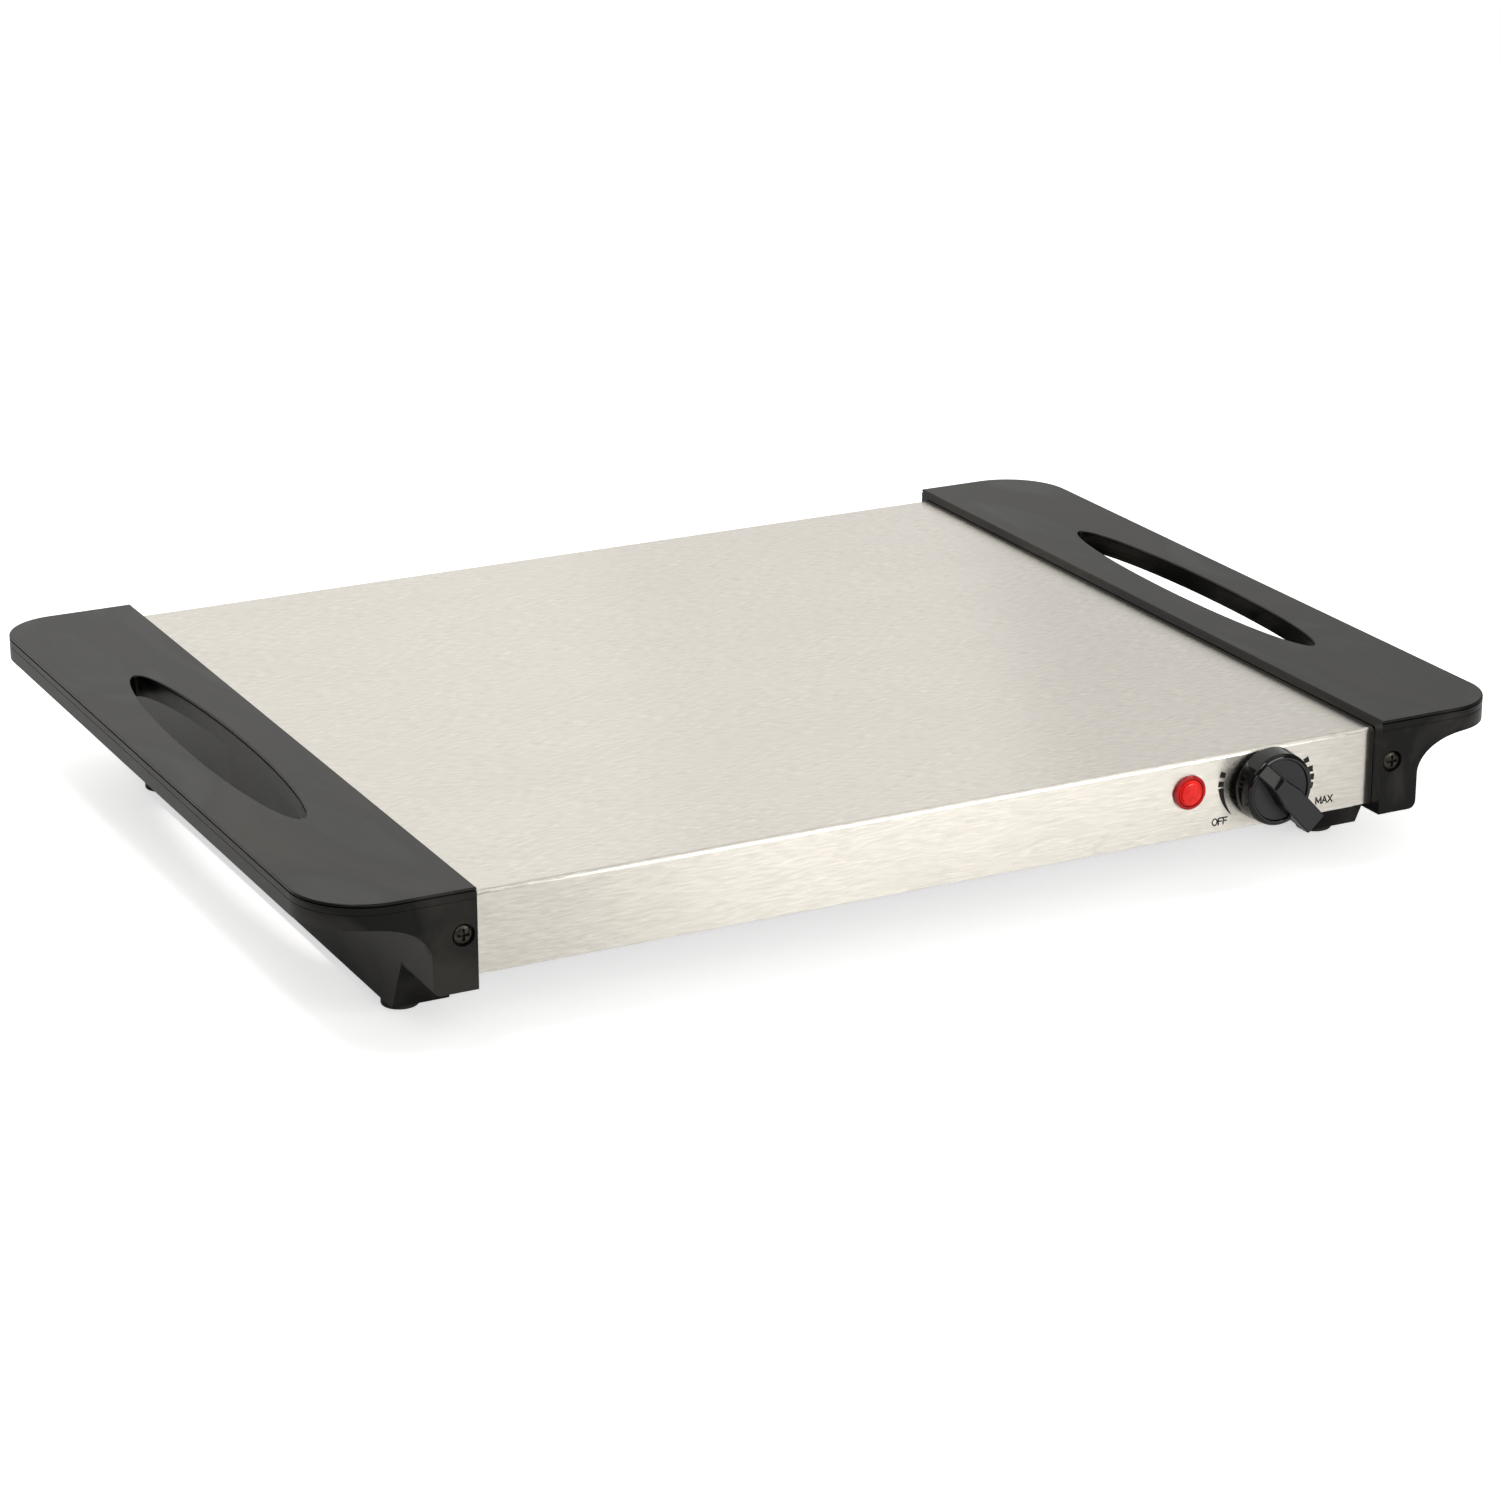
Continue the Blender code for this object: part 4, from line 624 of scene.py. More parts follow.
def dial_ink():
    made, tree, shader = look("dial ink", colour=(0.006, 0.006, 0.006), roughness=0.5)
    film = grain(tree, scale=2200, detail=3)
    colour_by(tree, shader, film, dark=(0.004, 0.004, 0.004), light=(0.011, 0.011, 0.010))
    roughness_by(tree, shader, film, low=0.42, high=0.6)
    bump_by(tree, shader, (film, INK_BUMP))
    shader.inputs["Specular IOR Level"].default_value = 0.2
    return made


LOOKS = {
    "brushed_steel": brushed_steel(),
    "zinc_steel": zinc_steel(),
    "aluminium": aluminium(),
    "element_steel": element_steel(),
    "black_moulding": black_moulding(),
    "gloss_black": gloss_black(),
    "rubber": rubber(),
    "mineral_wool": mineral_wool(),
    "pale_plastic": plain_moulding("pale plastic", (0.74, 0.71, 0.64), (0.84, 0.82, 0.76), 0.35, 0.5),
    "phenolic": plain_moulding("phenolic", (0.08, 0.045, 0.03), (0.14, 0.08, 0.055), 0.4, 0.6),
    "lamp_red": lamp_red("lamp bezel red", (0.24, 0.003, 0.004), (0.38, 0.006, 0.008), 0.03),
    "lamp_glow": lamp_red("lamp lens red", (0.48, 0.005, 0.005), (0.72, 0.016, 0.011), 0.06),
    "screw_steel": screw_steel(),
    "brown_lead": plain_moulding("brown lead", (0.13, 0.05, 0.02), (0.20, 0.085, 0.04), 0.4, 0.6),
    "blue_lead": plain_moulding("blue lead", (0.03, 0.09, 0.36), (0.05, 0.13, 0.46), 0.4, 0.6),
    "green_lead": plain_moulding("green lead", (0.07, 0.36, 0.06), (0.12, 0.46, 0.09), 0.4, 0.6),
    "white_lead": plain_moulding("white lead", (0.68, 0.68, 0.64), (0.80, 0.80, 0.77), 0.5, 0.7),
    "dial_ink": dial_ink(),
}


def dress_carried_nodes():
    """Give every CAD node the worked-out material of its slot."""
    for node in frame["nodes"].values():
        node.data.materials[0] = LOOKS[node.data.materials[0].name]


# Steel shell


def fold_block(name, inset, floor_rise):
    """A block with every edge rounded but the floor's, the shell's outside or its inside."""
    half = SHELL_HALF_WIDTH - inset
    low = (-half, FRONT_Y + inset, SHELL_BASE_Z + floor_rise)
    high = (half, BACK_Y - inset, SHELL_TOP_Z - inset)
    shape = bmesh.new()
    shape.from_mesh(box_mesh(name, low, high))
    floor = min(shape.faces, key=lambda face: face.calc_center_median().z)
    folds = [edge for edge in shape.edges if edge not in list(floor.edges)]
    return rounded_off(name, shape, folds, FOLD_RADIUS - inset, FOLD_STEPS)


def panel_hole(x, z, radius, y=FRONT_Y):
    hole = prism("hole", ellipse(x, z, radius, radius, SMALL_SIDES), "Y", y - OVERRUN, y + OVERRUN)
    return hole, "DIFFERENCE"


def brushing_map(mesh):
    """Texture coordinates that run with the brushing, along X on every face."""
    layer = mesh.uv_layers.new(name=BRUSHING_MAP)
    for face in mesh.polygons:
        for corner in face.loop_indices:
            place = mesh.vertices[mesh.loops[corner].vertex_index].co
            layer.data[corner].uv = (place.x, place.y + place.z)


def make_shell():
    half = SHELL_HALF_WIDTH - SHELL_FLANGE
    low = (-half, FRONT_Y + SHELL_FLANGE, SHELL_BASE_Z - OVERRUN)
    high = (half, BACK_Y - SHELL_FLANGE, SHELL_BASE_Z + SHEET + OVERRUN)
    lamp, gland = middle("lamp_bezel"), middle("cord_gland")
    tools = [
        (fold_block("inside", SHEET, SHEET), "DIFFERENCE"),
        (box_mesh("opening", low, high), "DIFFERENCE"),
        panel_hole(KNOB_X, KNOB_Z, SHAFT_RADIUS + GAP),
        panel_hole(lamp.x, lamp.z, LAMP_TUBE_RADIUS + GAP),
        panel_hole(gland.x, gland.z, GLAND_RADIUS + GAP, BACK_Y),
    ]
    mesh = combined(fold_block("steel_shell", 0, 0), tools)
    brushing_map(mesh)
    piece("steel_shell", mesh, "brushed_steel", ["tray_shell"])


# Handles


def corner_plan(inner_x, inset, half_length):
    """The right handle seen from above round the tray's middle: the tighter corner in front."""
    tight = TIGHT_CORNER_RADIUS - inset
    wide = WIDE_CORNER_RADIUS - inset
    outer_x = HANDLE_OUTER_X - inset
    front = arc(outer_x - tight, tight - half_length, tight, tight, -90, 0)
    back = arc(outer_x - wide, half_length - wide, wide, wide, 0, 90)
    return [(inner_x, -half_length), *front, *back, (inner_x, half_length)]


def groove_levels(groove):
    """A groove round a wall, bottom to top, as (height, cut) pairs."""
    roof, cut = HANDLE_TOP_Z - groove["depth"], groove["cut"]
    floor = roof - groove["width"]
    return [(floor, 0), (floor, cut), (roof, cut), (roof, 0)]


def handle_levels():
    """The handle's wall from bottom to top as (height, inset) pairs, with its grooves and rounded rim."""
    rim = rounding(RIM_RADIUS, HANDLE_TOP_Z - RIM_RADIUS, RIM_RADIUS, 180, 90)
    levels = [(LEG_BASE_Z, 0), *groove_levels(LOWER_GROOVE), *groove_levels(RIM_GROOVE)]
    return levels + [(height, inset) for inset, height in rim]


def handle_stock():
    loops = []
    for height, inset in handle_levels():
        lip = inset if height > HANDLE_TOP_Z - RIM_RADIUS else 0
        plan = corner_plan(HANDLE_INNER_X + lip, inset, HANDLE_HALF_LENGTH - inset)
        loops.append([(x, y, height) for x, y in plan])
    return loft("handle", loops)


def handle_underside():
    """What is cut away under the grip, from an outline seen from the front."""
    leg_inset = LEG_X - LEG_CORNER_RADIUS
    below, beyond = LEG_BASE_Z - OVERRUN, HANDLE_OUTER_X + OVERRUN
    corner = rounding(leg_inset, LEG_BASE_Z + LEG_CORNER_RADIUS, LEG_CORNER_RADIUS, -90, 0)
    scoop = arc(LEG_X + SCOOP_WIDTH, SCOOP_BASE_Z, SCOOP_WIDTH, SCOOP_HEIGHT, 180, 90)
    outline = [(leg_inset, below), *corner, *scoop, (beyond, HANDLE_TOP_Z - GRIP_HEIGHT), (beyond, below)]
    length = HANDLE_HALF_LENGTH + OVERRUN
    return prism("underside", outline, "Y", -length, length)


def slot_ring(growth):
    """The finger slot seen from above, widened all round."""
    return ellipse(SLOT_X, 0, SLOT_WIDTH / 2 + growth, SLOT_LENGTH / 2 + growth, SLOT_SIDES)


def slot_loops(low, growths):
    """Rings of the finger slot from its foot upwards, from (height, growth) pairs."""
    loops = []
    for height, growth in [(low, growths[0][1]), *growths]:
        loops.append([(a, b, height) for a, b in slot_ring(growth)])
    return loops


def finger_slot():
    """The slot's cutter: small steps down its skirt, a groove under the top and a rounded mouth."""
    growths = []
    for order, depth in enumerate(SLOT_STEP_DEPTHS):
        remaining = SLOT_STEP * (len(SLOT_STEP_DEPTHS) - order)
        growths += [(HANDLE_TOP_Z - depth, remaining), (HANDLE_TOP_Z - depth, remaining - SLOT_STEP)]
    growths += groove_levels(SLOT_GROOVE)
    mouth = rounding(SLOT_EDGE, HANDLE_TOP_Z - SLOT_EDGE, SLOT_EDGE, 180, 90)
    growths += [(height, growth) for growth, height in mouth]
    growths.append((HANDLE_TOP_Z + OVERRUN, SLOT_EDGE + OVERRUN))
    return loft("slot", slot_loops(SCOOP_BASE_Z, growths))


def handle_cavity():
    """The hollow under the grip, which leaves the top, the rim and the skirt round the slot."""
    points = corner_plan(LEG_X, HANDLE_WALL, SHELL_HALF_DEPTH + GAP)
    hollow = prism("hollow", points, "Z", SCOOP_BASE_Z - OVERRUN, SHELL_TOP_Z + GAP)
    skirt = prism("skirt", slot_ring(SLOT_SKIRT_WALL), "Z", HANDLE_TOP_Z - SLOT_SKIRT_HEIGHT, HANDLE_TOP_Z)
    return combined(hollow, [(skirt, "DIFFERENCE")])


def handle_runner():
    top = SHELL_HALF_DEPTH - RUNNER_TOP_SETBACK
    base = SHELL_HALF_DEPTH - RUNNER_BASE_SETBACK
    outline = [(-base, RUNNER_BASE_Z), (base, RUNNER_BASE_Z), (top, SHELL_BASE_Z), (-top, SHELL_BASE_Z)]
    return prism("runner", outline, "X", RUNNER_INNER_X, RUNNER_INNER_X + RUNNER_WIDTH)


def screw_recess():
    """The recess round a handle screw's head and the hole for its shank, along Z out of the shell's face."""
    proud = HANDLE_HALF_LENGTH - SHELL_HALF_DEPTH
    mouth = HANDLE_RECESS_RADIUS + HANDLE_RECESS_EDGE
    profile = [
        (0, proud + OVERRUN),
        (mouth, proud + OVERRUN),
        *rounding(mouth, proud - HANDLE_RECESS_EDGE, HANDLE_RECESS_EDGE, 90, 180),
        (HANDLE_RECESS_RADIUS, proud - HANDLE_RECESS_DEPTH),
        (HANDLE_SCREW_SHANK + GAP, proud - HANDLE_RECESS_DEPTH),
        (HANDLE_SCREW_SHANK + GAP, -OVERRUN),
        (0, -OVERRUN),
    ]
    return turned("recess", profile, SMALL_SIDES)


def handle_holes():
    """Screw recesses, foot pilot holes and the runner's hollow, as cutters."""
    tools = []
    screw_x = HANDLE_INNER_X + HANDLE_SCREW_X_INSET
    screw_z = SHELL_BASE_Z + HANDLE_SCREW_RISE
    foot = middle("foot_front_right")
    for side, facing in ((-1, FACE_FRONT), (1, FACE_BACK)):
        at = Matrix.Translation((screw_x, side * SHELL_HALF_DEPTH, screw_z))
        tools.append((moved(screw_recess(), at @ facing), "DIFFERENCE"))
        ring = ellipse(foot.x, side * (MIDDLE_Y - foot.y), FOOT_HOLE, FOOT_HOLE, SMALL_SIDES)
        pilot = prism("pilot", ring, "Z", RUNNER_BASE_Z - OVERRUN, FOOT_PILOT_DEPTH)
        tools.append((pilot, "DIFFERENCE"))
    half = SHELL_HALF_DEPTH - RUNNER_BASE_SETBACK - RUNNER_PAD_LENGTH
    low = (RUNNER_INNER_X + RUNNER_WALL, -half, RUNNER_BASE_Z - OVERRUN)
    high = (RUNNER_INNER_X + RUNNER_WIDTH - RUNNER_WALL, half, LEG_BASE_Z)
    tools.append((box_mesh("runner_hollow", low, high), "DIFFERENCE"))
    return tools


def handle_mesh():
    """The right handle round the tray's middle. The left one is the same moulding turned round."""
    inside = SHELL_HALF_DEPTH + GAP
    low = (RUNNER_INNER_X - OVERRUN, -inside, SHELL_BASE_Z - GAP)
    high = (SHELL_HALF_WIDTH + GAP, inside, SHELL_TOP_Z + GAP)
    tools = [
        (handle_underside(), "DIFFERENCE"),
        (handle_runner(), "UNION"),
        (box_mesh("pocket", low, high), "DIFFERENCE"),
        (handle_cavity(), "DIFFERENCE"),
        (finger_slot(), "DIFFERENCE"),
        *handle_holes(),
    ]
    return combined(handle_stock(), tools)


def make_handles():
    mesh = handle_mesh()
    place = Matrix.Translation((0, MIDDLE_Y, 0))
    turned_round = place @ Matrix.Rotation(math.pi, 4, "Z")
    for side, matrix in (("right", place), ("left", turned_round)):
        piece(f"moulded_handle_{side}", mesh.copy(), "black_moulding", [f"handle_{side}"], matrix=matrix)


# Screws and feet


def domed_screw(head, height, shank, length, recess):
    """A pan-head screw along Z with a cross recess, its head's underside at the origin."""
    dome = arc(0, height / 2, head, height / 2, 90, 0, SMALL_SIDES // 4)
    profile = [(0, height), *dome[1:], (head, 0), (shank, 0), (shank, -length), (0, -length)]
    body = turned("screw", profile, SMALL_SIDES)
    half, wide = head * CROSS_REACH_SHARE, CROSS_WIDTH / 2
    low, high = height - recess, height + OVERRUN
    tools = [
        (box_mesh("arm", (-half, -wide, low), (half, wide, high)), "DIFFERENCE"),
        (box_mesh("other_arm", (-wide, -half, low), (wide, half, high)), "DIFFERENCE"),
    ]
    return combined(body, tools)


def make_handle_screws():
    mesh = domed_screw(HANDLE_SCREW_HEAD, HANDLE_SCREW_HEAD_HEIGHT, HANDLE_SCREW_SHANK, HANDLE_SCREW_LENGTH,
                       HANDLE_SCREW_RECESS)
    for x_name in ("left", "right"):
        for y_name, facing in (("front", FACE_FRONT), ("back", FACE_BACK)):
            node = f"handle_screw_{y_name}_{x_name}"
            low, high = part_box(node)
            centre = (low + high) / 2
            y = low.y + HANDLE_SCREW_HEAD_HEIGHT if y_name == "front" else high.y - HANDLE_SCREW_HEAD_HEIGHT
            at = Matrix.Translation((centre.x, y, centre.z)) @ facing
            piece(f"pan_screw_{y_name}_{x_name}", mesh.copy(), "screw_steel", [node], matrix=at)


def make_base_screws():
    """Low-headed screws up through the base plate."""
    for number in range(1, BASE_SCREWS + 1):
        node = f"base_screw_{number}"
        centre, tip = middle(node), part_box(node)[1].z
        mesh = domed_screw(BASE_SCREW_HEAD, BASE_SCREW_HEAD_HEIGHT, BASE_SCREW_SHANK, tip - BASE_LOW.z,
                           BASE_SCREW_RECESS)
        at = Matrix.Translation((centre.x, centre.y, BASE_LOW.z)) @ FACE_DOWN
        piece(f"low_screw_{number}", mesh, "screw_steel", [node], matrix=at)


def make_feet():
    profile = [
        (FOOT_HOLE, FOOT_HEIGHT),
        (FOOT_RADIUS, FOOT_HEIGHT),
        *rounding(FOOT_RADIUS - FOOT_EDGE, FOOT_EDGE, FOOT_EDGE, 0, -90),
        (FOOT_RECESS_RADIUS, 0),
        (FOOT_RECESS_RADIUS, FOOT_RECESS_DEPTH),
        (FOOT_HOLE, FOOT_RECESS_DEPTH),
    ]
    mesh = turned("foot", profile, ROUND_SIDES, closed=True)
    for x_name in ("left", "right"):
        for y_name in ("front", "back"):
            node = f"foot_{y_name}_{x_name}"
            centre = middle(node)
            at = Matrix.Translation((centre.x, centre.y, 0))
            piece(f"rubber_{node}", mesh.copy(), "rubber", [node], matrix=at)


# Knob


def knob_body():
    """The knob without its pointer: a rounded rim round a sunk face, and a hollow with a hub behind."""
    floor, roof = KNOB_TOP - KNOB_RIM_HEIGHT, KNOB_TOP - KNOB_ROOF
    hollow = KNOB_BASE_RADIUS - KNOB_WALL
    crown_a, crown_b = KNOB_FACE_RADIUS - KNOB_CROWN_RADIUS, KNOB_TOP - KNOB_CROWN_RADIUS
    foot_a, foot_b = KNOB_BASE_RADIUS - KNOB_RIM_HEIGHT, KNOB_STANDOFF + KNOB_RIM_HEIGHT
    profile = [
        (0, floor),
        *rounding(KNOB_FACE_RADIUS - KNOB_RIM_WIDTH, floor, KNOB_RIM_HEIGHT, 180, 90),
        *rounding(crown_a, crown_b, KNOB_CROWN_RADIUS, 90, 0),
        *rounding(foot_a, foot_b, KNOB_RIM_HEIGHT, 0, -90),
        (hollow, KNOB_STANDOFF),
        (hollow, roof),
        (KNOB_HUB_RADIUS, roof),
        (KNOB_HUB_RADIUS, KNOB_STANDOFF),
        (0, KNOB_STANDOFF),
    ]
    return turned("knob", profile, ROUND_SIDES)


def curve_between(start, control, end):
    """Points along a curve that leaves its start and meets its end in line with the control point."""
    points = []
    for step in range(CURVE_STEPS + 1):
        share = step / CURVE_STEPS
        rest = 1 - share
        weighted = list(zip((rest ** 2, 2 * rest * share, share ** 2), (start, control, end)))
        points.append(tuple(sum(weight * point[axis] for weight, point in weighted) for axis in (0, 1)))
    return points


def pointer_outline(base, top):
    """The pointer bar seen from its side, with its tail bent down to the body's wall."""
    tip_foot = KNOB_FACE_RADIUS - KNOB_CROWN_RADIUS
    tail = -KNOB_FACE_RADIUS
    slope = curve_between((-POINTER_TAIL_START, top), (tail, top - POINTER_TAIL_DROP), (tail, base))
    return [(tip_foot, base), (POINTER_REACH, top - POINTER_TIP_HEIGHT), (POINTER_REACH, top), *slope]


def pointer_plan(spread):
    """The pointer bar seen from in front: a neck at its tail that swells into an even bar."""
    neck, half = POINTER_NECK_WIDTH / 2 + spread, POINTER_WIDTH / 2 + spread
    tail, waist = (neck, -KNOB_FACE_RADIUS - OVERRUN), (neck, -POINTER_TAIL_START)
    swell = curve_between(tail, waist, (half, POINTER_SHOULDER))
    right = [*swell, (half, POINTER_REACH + OVERRUN)]
    return right + [(-x, y) for x, y in reversed(right)]


def sharp_above(edge, level):
    """Whether an edge reaches above a level and isn't one of the fine steps of a curve."""
    return max(vert.co.z for vert in edge.verts) > level and edge.calc_face_angle() > SHARP_ANGLE / 2


def pointer_bar():
    """The pointer bar along Y, with a little draft and rounded edges."""
    base, top = KNOB_TOP - KNOB_ROOF / 2, KNOB_TOP + POINTER_PROUD
    side = prism("pointer", pointer_outline(base, top), "X", -POINTER_WIDTH, POINTER_WIDTH)
    loops = []
    for level in (base - OVERRUN, top + OVERRUN):
        loops.append([(x, y, level) for x, y in pointer_plan(POINTER_DRAFT * (top - level))])
    shape = bmesh.new()
    shape.from_mesh(combined(side, [(loft("plan", loops), "INTERSECT")]))
    edges = [edge for edge in shape.edges if sharp_above(edge, KNOB_TOP)]
    return rounded_off("pointer", shape, edges, POINTER_EDGE, EDGE_STEPS)


def tail_trim():
    """Everything outside the body's circle on the tail's side."""
    reach = KNOB_FACE_RADIUS + OVERRUN
    rim = arc(0, 0, KNOB_FACE_RADIUS, KNOB_FACE_RADIUS, 180, 360, ROUND_SIDES // 2)
    outline = [*rim, (reach, 0), (reach, -reach), (-reach, -reach), (-reach, 0)]
    return prism("trim", outline, "Z", KNOB_STANDOFF - OVERRUN, KNOB_TOP + POINTER_PROUD)


def shaft_bore():
    """The D-shaped bore for the shaft."""
    half = math.degrees(math.acos(SHAFT_FLAT / SHAFT_RADIUS))
    radius = SHAFT_RADIUS + GAP
    ring = arc(0, 0, radius, radius, 90 + half, 450 - half, SMALL_SIDES)
    return prism("bore", ring, "Z", KNOB_STANDOFF - OVERRUN, KNOB_STANDOFF + SHAFT_FLAT_LENGTH)


def make_knob():
    along = Matrix.Rotation(-POINTER_REST_ANGLE, 4, "Z")
    bar = moved(combined(pointer_bar(), [(tail_trim(), "DIFFERENCE")]), along)
    mesh = combined(knob_body(), [(bar, "UNION"), (shaft_bore(), "DIFFERENCE")])
    at = Matrix.Translation((KNOB_X, FRONT_Y, KNOB_Z)) @ FACE_FRONT
    piece("pointer_knob", mesh, "gloss_black", ["control_knob"], "knob", at)


# Lamp


def lamp_ring():
    """The bezel and its tube, open right through, with a seat for the lens."""
    bore = LAMP_TUBE_RADIUS - LAMP_TUBE_WALL
    edge_a, edge_b = LAMP_BEZEL_RADIUS - LAMP_BEZEL_EDGE, LAMP_BEZEL_HEIGHT - LAMP_BEZEL_EDGE
    profile = [
        (bore, LAMP_SEAT),
        (LAMP_TUBE_RADIUS, LAMP_SEAT),
        (LAMP_TUBE_RADIUS + GAP, LAMP_BEZEL_HEIGHT),
        *rounding(edge_a, edge_b, LAMP_BEZEL_EDGE, 90, 0),
        (LAMP_BEZEL_RADIUS, GAP),
        (LAMP_TUBE_RADIUS, GAP),
        (LAMP_TUBE_RADIUS, -LAMP_TUBE_LENGTH),
        (bore, -LAMP_TUBE_LENGTH),
    ]
    return turned("bezel", profile, ROUND_SIDES, closed=True)


def lamp_disc():
    """The domed lens on its seat."""
    top = LAMP_SEAT + GAP + LAMP_LENS_HEIGHT
    crown = arc(0, top - LAMP_LENS_EDGE, LAMP_LENS_FACE_RADIUS, LAMP_LENS_EDGE, 90, 0, SMALL_SIDES // 2)
    shoulder = LAMP_SEAT + LAMP_LENS_EDGE + GAP
    profile = [
        (0, top),
        *crown[1:],
        (LAMP_LENS_FACE_RADIUS, shoulder),
        (LAMP_LENS_RADIUS - LAMP_LENS_EDGE / 2, shoulder),
        (LAMP_LENS_RADIUS, LAMP_SEAT + GAP),
        (0, LAMP_SEAT + GAP),
    ]
    return turned("lens", profile, ROUND_SIDES)


def make_lamp():
    centre = middle("lamp_bezel")
    at = Matrix.Translation((centre.x, FRONT_Y, centre.z)) @ FACE_FRONT
    piece("lamp_ring", lamp_ring(), "lamp_red", ["lamp_bezel"], matrix=at)
    piece("lamp_disc", lamp_disc(), "lamp_glow", ["lamp_lens"], matrix=at)


# Dial print and lettering


def ink(points):
    """A thin patch of ink on the front panel from an outline of (x, z) points."""
    return prism("patch", points, "Y", FRONT_Y - PRINT_HEIGHT, FRONT_Y + PRINT_SINK)


def printed(name, patches):
    """Patches of ink as one piece."""
    shape = bmesh.new()
    for patch in patches:
        shape.from_mesh(patch)
    piece(name, mesh_of(name, shape), "gloss_black", finish="dial_ink")


def dial_sector(start, end, first, last):
    """A band of ink between two angles, from its first (inner, outer) radii to its last ones."""
    steps = round(abs(end - start))
    edges = ([], [])
    for step in range(steps + 1):
        share = step / steps
        angle = math.radians(start + (end - start) * share)
        for edge, near, far in zip(edges, first, last):
            radius = near + (far - near) * share
            edge.append((KNOB_X + radius * math.sin(angle), KNOB_Z + radius * math.cos(angle)))
    return ink(edges[1] + edges[0][::-1])


def make_dial():
    half = DIAL_TICK_DEGREES / 2
    bands = []
    for angle, outer in DIAL_TICK_REACHES.items():
        radii = (outer - DIAL_TICK, outer)
        bands.append(dial_sector(angle - half, angle + half, radii, radii))
    tip = (WEDGE_TIP, WEDGE_TIP + WEDGE_TIP_WIDTH)
    bands.append(dial_sector(WEDGE_START, WEDGE_END, (WEDGE_INNER, WEDGE_OUTER), tip))
    printed("dial_marks", bands)


def pen_stroke(start, end):
    """A straight stroke with square ends, from one (x, z) point to another."""
    along = (Vector(end) - Vector(start)).normalized() * LETTER_STROKE / 2
    across = Vector((-along.y, along.x))
    low, high = Vector(start) - along, Vector(end) + along
    return ink([tuple(low - across), tuple(high - across), tuple(high + across), tuple(low + across)])


def round_letter(x, z, width):
    """A capital O whose left foot stands at (x, z)."""
    half_width, half_height, pen = width / 2, LETTER_HEIGHT / 2, LETTER_STROKE / 2
    rings = []
    for growth in (pen, -pen):
        radii = (half_width + growth, half_height + growth)
        rings.append(ink(ellipse(x + half_width, z + half_height, *radii, SMALL_SIDES)))
    return combined(rings[0], [(rings[1], "DIFFERENCE")])


def letter(character, x, z):
    """One capital whose left foot stands at (x, z)."""
    width = LETTER_WIDTHS[character]
    if character == "O":
        return round_letter(x, z, width)
    strokes = []
    for ends in LETTER_STROKE_SHARES[character]:
        strokes.append(pen_stroke(*[(x + across * width, z + up * LETTER_HEIGHT) for across, up in ends]))
    return combined(strokes[0], [(stroke, "UNION") for stroke in strokes[1:]])


def lettering(name, word, x, rise):
    """A word in thin ink, centred at a place on the front panel."""
    gaps = LETTER_GAP * (len(word) - 1)
    left = x - (sum(LETTER_WIDTHS[character] for character in word) + gaps) / 2
    letters = []
    for character in word:
        letters.append(letter(character, left, SHELL_BASE_Z + rise))
        left += LETTER_WIDTHS[character] + LETTER_GAP
    printed(name, letters)


# Stage, lights and camera


def seen_as(tree, otherwise, seen):
    """A strength for the camera's own rays and another for the rest."""
    path = tree.nodes.new("ShaderNodeLightPath")
    choice = tree.nodes.new("ShaderNodeMapRange")
    choice.inputs["To Min"].default_value = otherwise
    choice.inputs["To Max"].default_value = seen
    tree.links.new(path.outputs["Is Camera Ray"], choice.inputs["Value"])
    return choice.outputs["Result"]


def make_room():
    """A room that is white to look at and a dim fill to be lit by."""
    world = bpy.data.worlds.new("room")
    world.use_nodes = True
    tree = world.node_tree
    tree.nodes["Background"].inputs["Color"].default_value = (1, 1, 1, 1)
    tree.links.new(seen_as(tree, ROOM_FILL, 1), tree.nodes["Background"].inputs["Strength"])
    bpy.context.scene.world = world


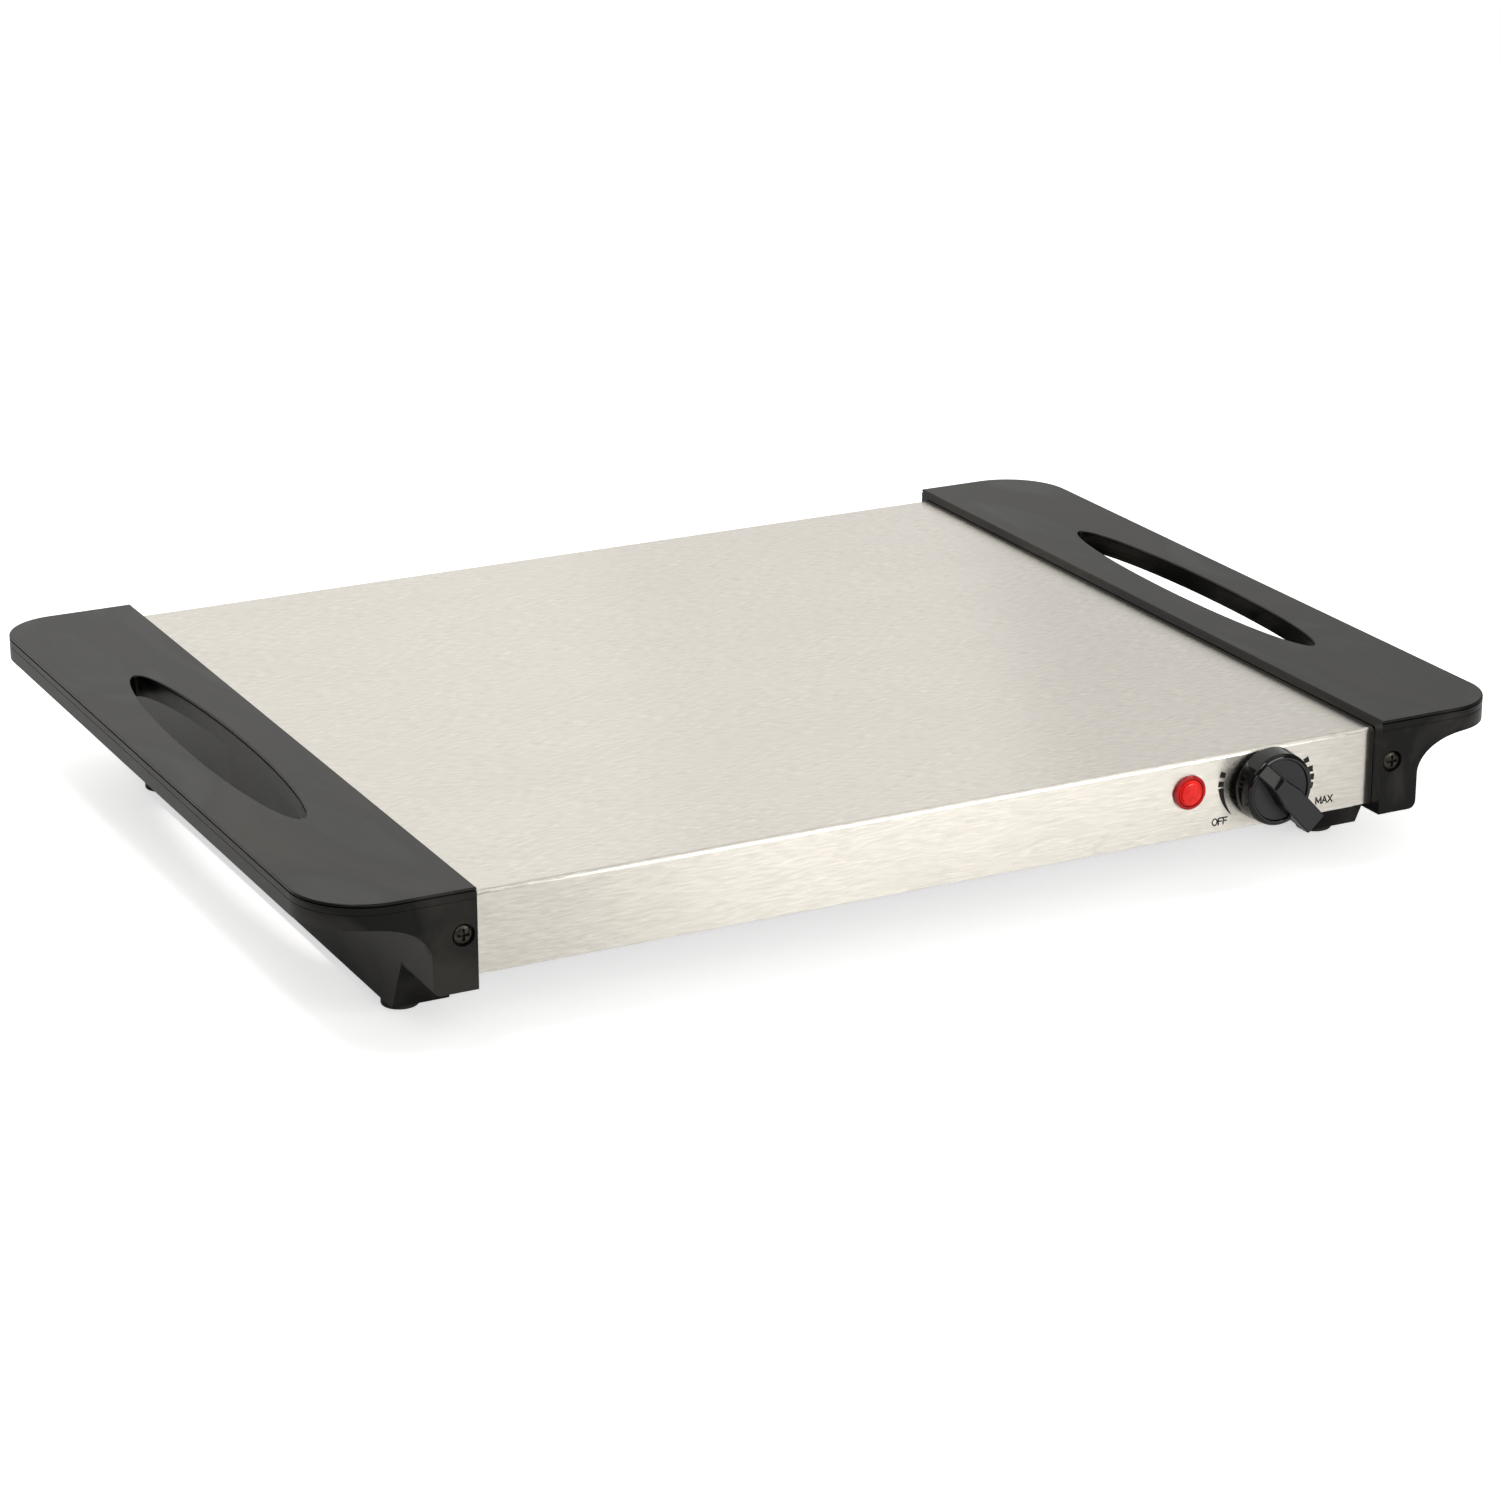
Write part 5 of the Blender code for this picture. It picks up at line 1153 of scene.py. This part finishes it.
def make_floor():
    """A pale floor, lifted to white where no shadow falls on it."""
    made, tree, shader = look("pale floor", colour=(FLOOR_SHADE,) * 3, roughness=0.9)
    shader.inputs["Specular IOR Level"].default_value = 0
    shader.inputs["Emission Color"].default_value = (1, 1, 1, 1)
    tree.links.new(seen_as(tree, 0, FLOOR_LIFT), shader.inputs["Emission Strength"])
    half = FLOOR_HALF
    shape = bmesh.new()
    corners = [(-half, -half), (half, -half), (half, half), (-half, half)]
    shape.faces.new([shape.verts.new((x, y, -FLOOR_DROP)) for x, y in corners])
    mesh = mesh_of("floor", shape)
    mesh.materials.append(made)
    floor = bpy.data.objects.new("floor", mesh)
    bpy.context.scene.collection.objects.link(floor)


def make_lights():
    """The soft boxes, each with the power that gives its face the brightness named."""
    for name, box in SOFTBOXES.items():
        light = bpy.data.lights.new(name, "AREA")
        light.shape = "RECTANGLE"
        light.size, light.size_y = box["size"]
        light.energy = math.pi * light.size * light.size_y * box["shine"]
        light.color = WARM_WHITE
        lamp = bpy.data.objects.new(name, light)
        lamp.location = box["at"]
        lamp.rotation_mode = "QUATERNION"
        facing = Vector(box["aim"]) - Vector(box["at"])
        lamp.rotation_quaternion = facing.to_track_quat("-Z", "Y")
        bpy.context.scene.collection.objects.link(lamp)


def make_camera():
    data = bpy.data.cameras.new("camera")
    data.lens = CAMERA_LENS
    data.sensor_fit = "HORIZONTAL"
    data.sensor_width = CAMERA_SENSOR
    data.clip_start, data.clip_end = CAMERA_NEAR, CAMERA_FAR
    camera = bpy.data.objects.new("camera", data)
    level = math.cos(CAMERA_PITCH)
    forward = Vector((math.sin(CAMERA_YAW) * level, math.cos(CAMERA_YAW) * level, -math.sin(CAMERA_PITCH)))
    target = Vector((TARGET_X, FRONT_Y + TARGET_REACH, SHELL_BASE_Z - TARGET_DROP))
    camera.location = target - forward * CAMERA_DISTANCE
    camera.rotation_mode = "QUATERNION"
    camera.rotation_quaternion = forward.to_track_quat("-Z", "Y")
    bpy.context.scene.collection.objects.link(camera)
    bpy.context.scene.camera = camera


def clear_leftovers():
    """Remove what a new Blender file starts with."""
    kept = {*frame["nodes"].values(), *frame["bodies"].values()}
    for item in list(bpy.data.objects):
        if item not in kept:
            bpy.data.objects.remove(item)


clear_leftovers()
make_camera()
make_room()
make_floor()
make_lights()
dress_carried_nodes()
make_shell()
make_handles()
make_handle_screws()
make_base_screws()
make_feet()
make_knob()
make_lamp()
make_dial()
lettering("off_letters", "OFF", OFF_X, OFF_RISE)
lettering("max_letters", "MAX", MAX_X, MAX_RISE)
bpy.context.scene.view_settings.view_transform = "Standard"
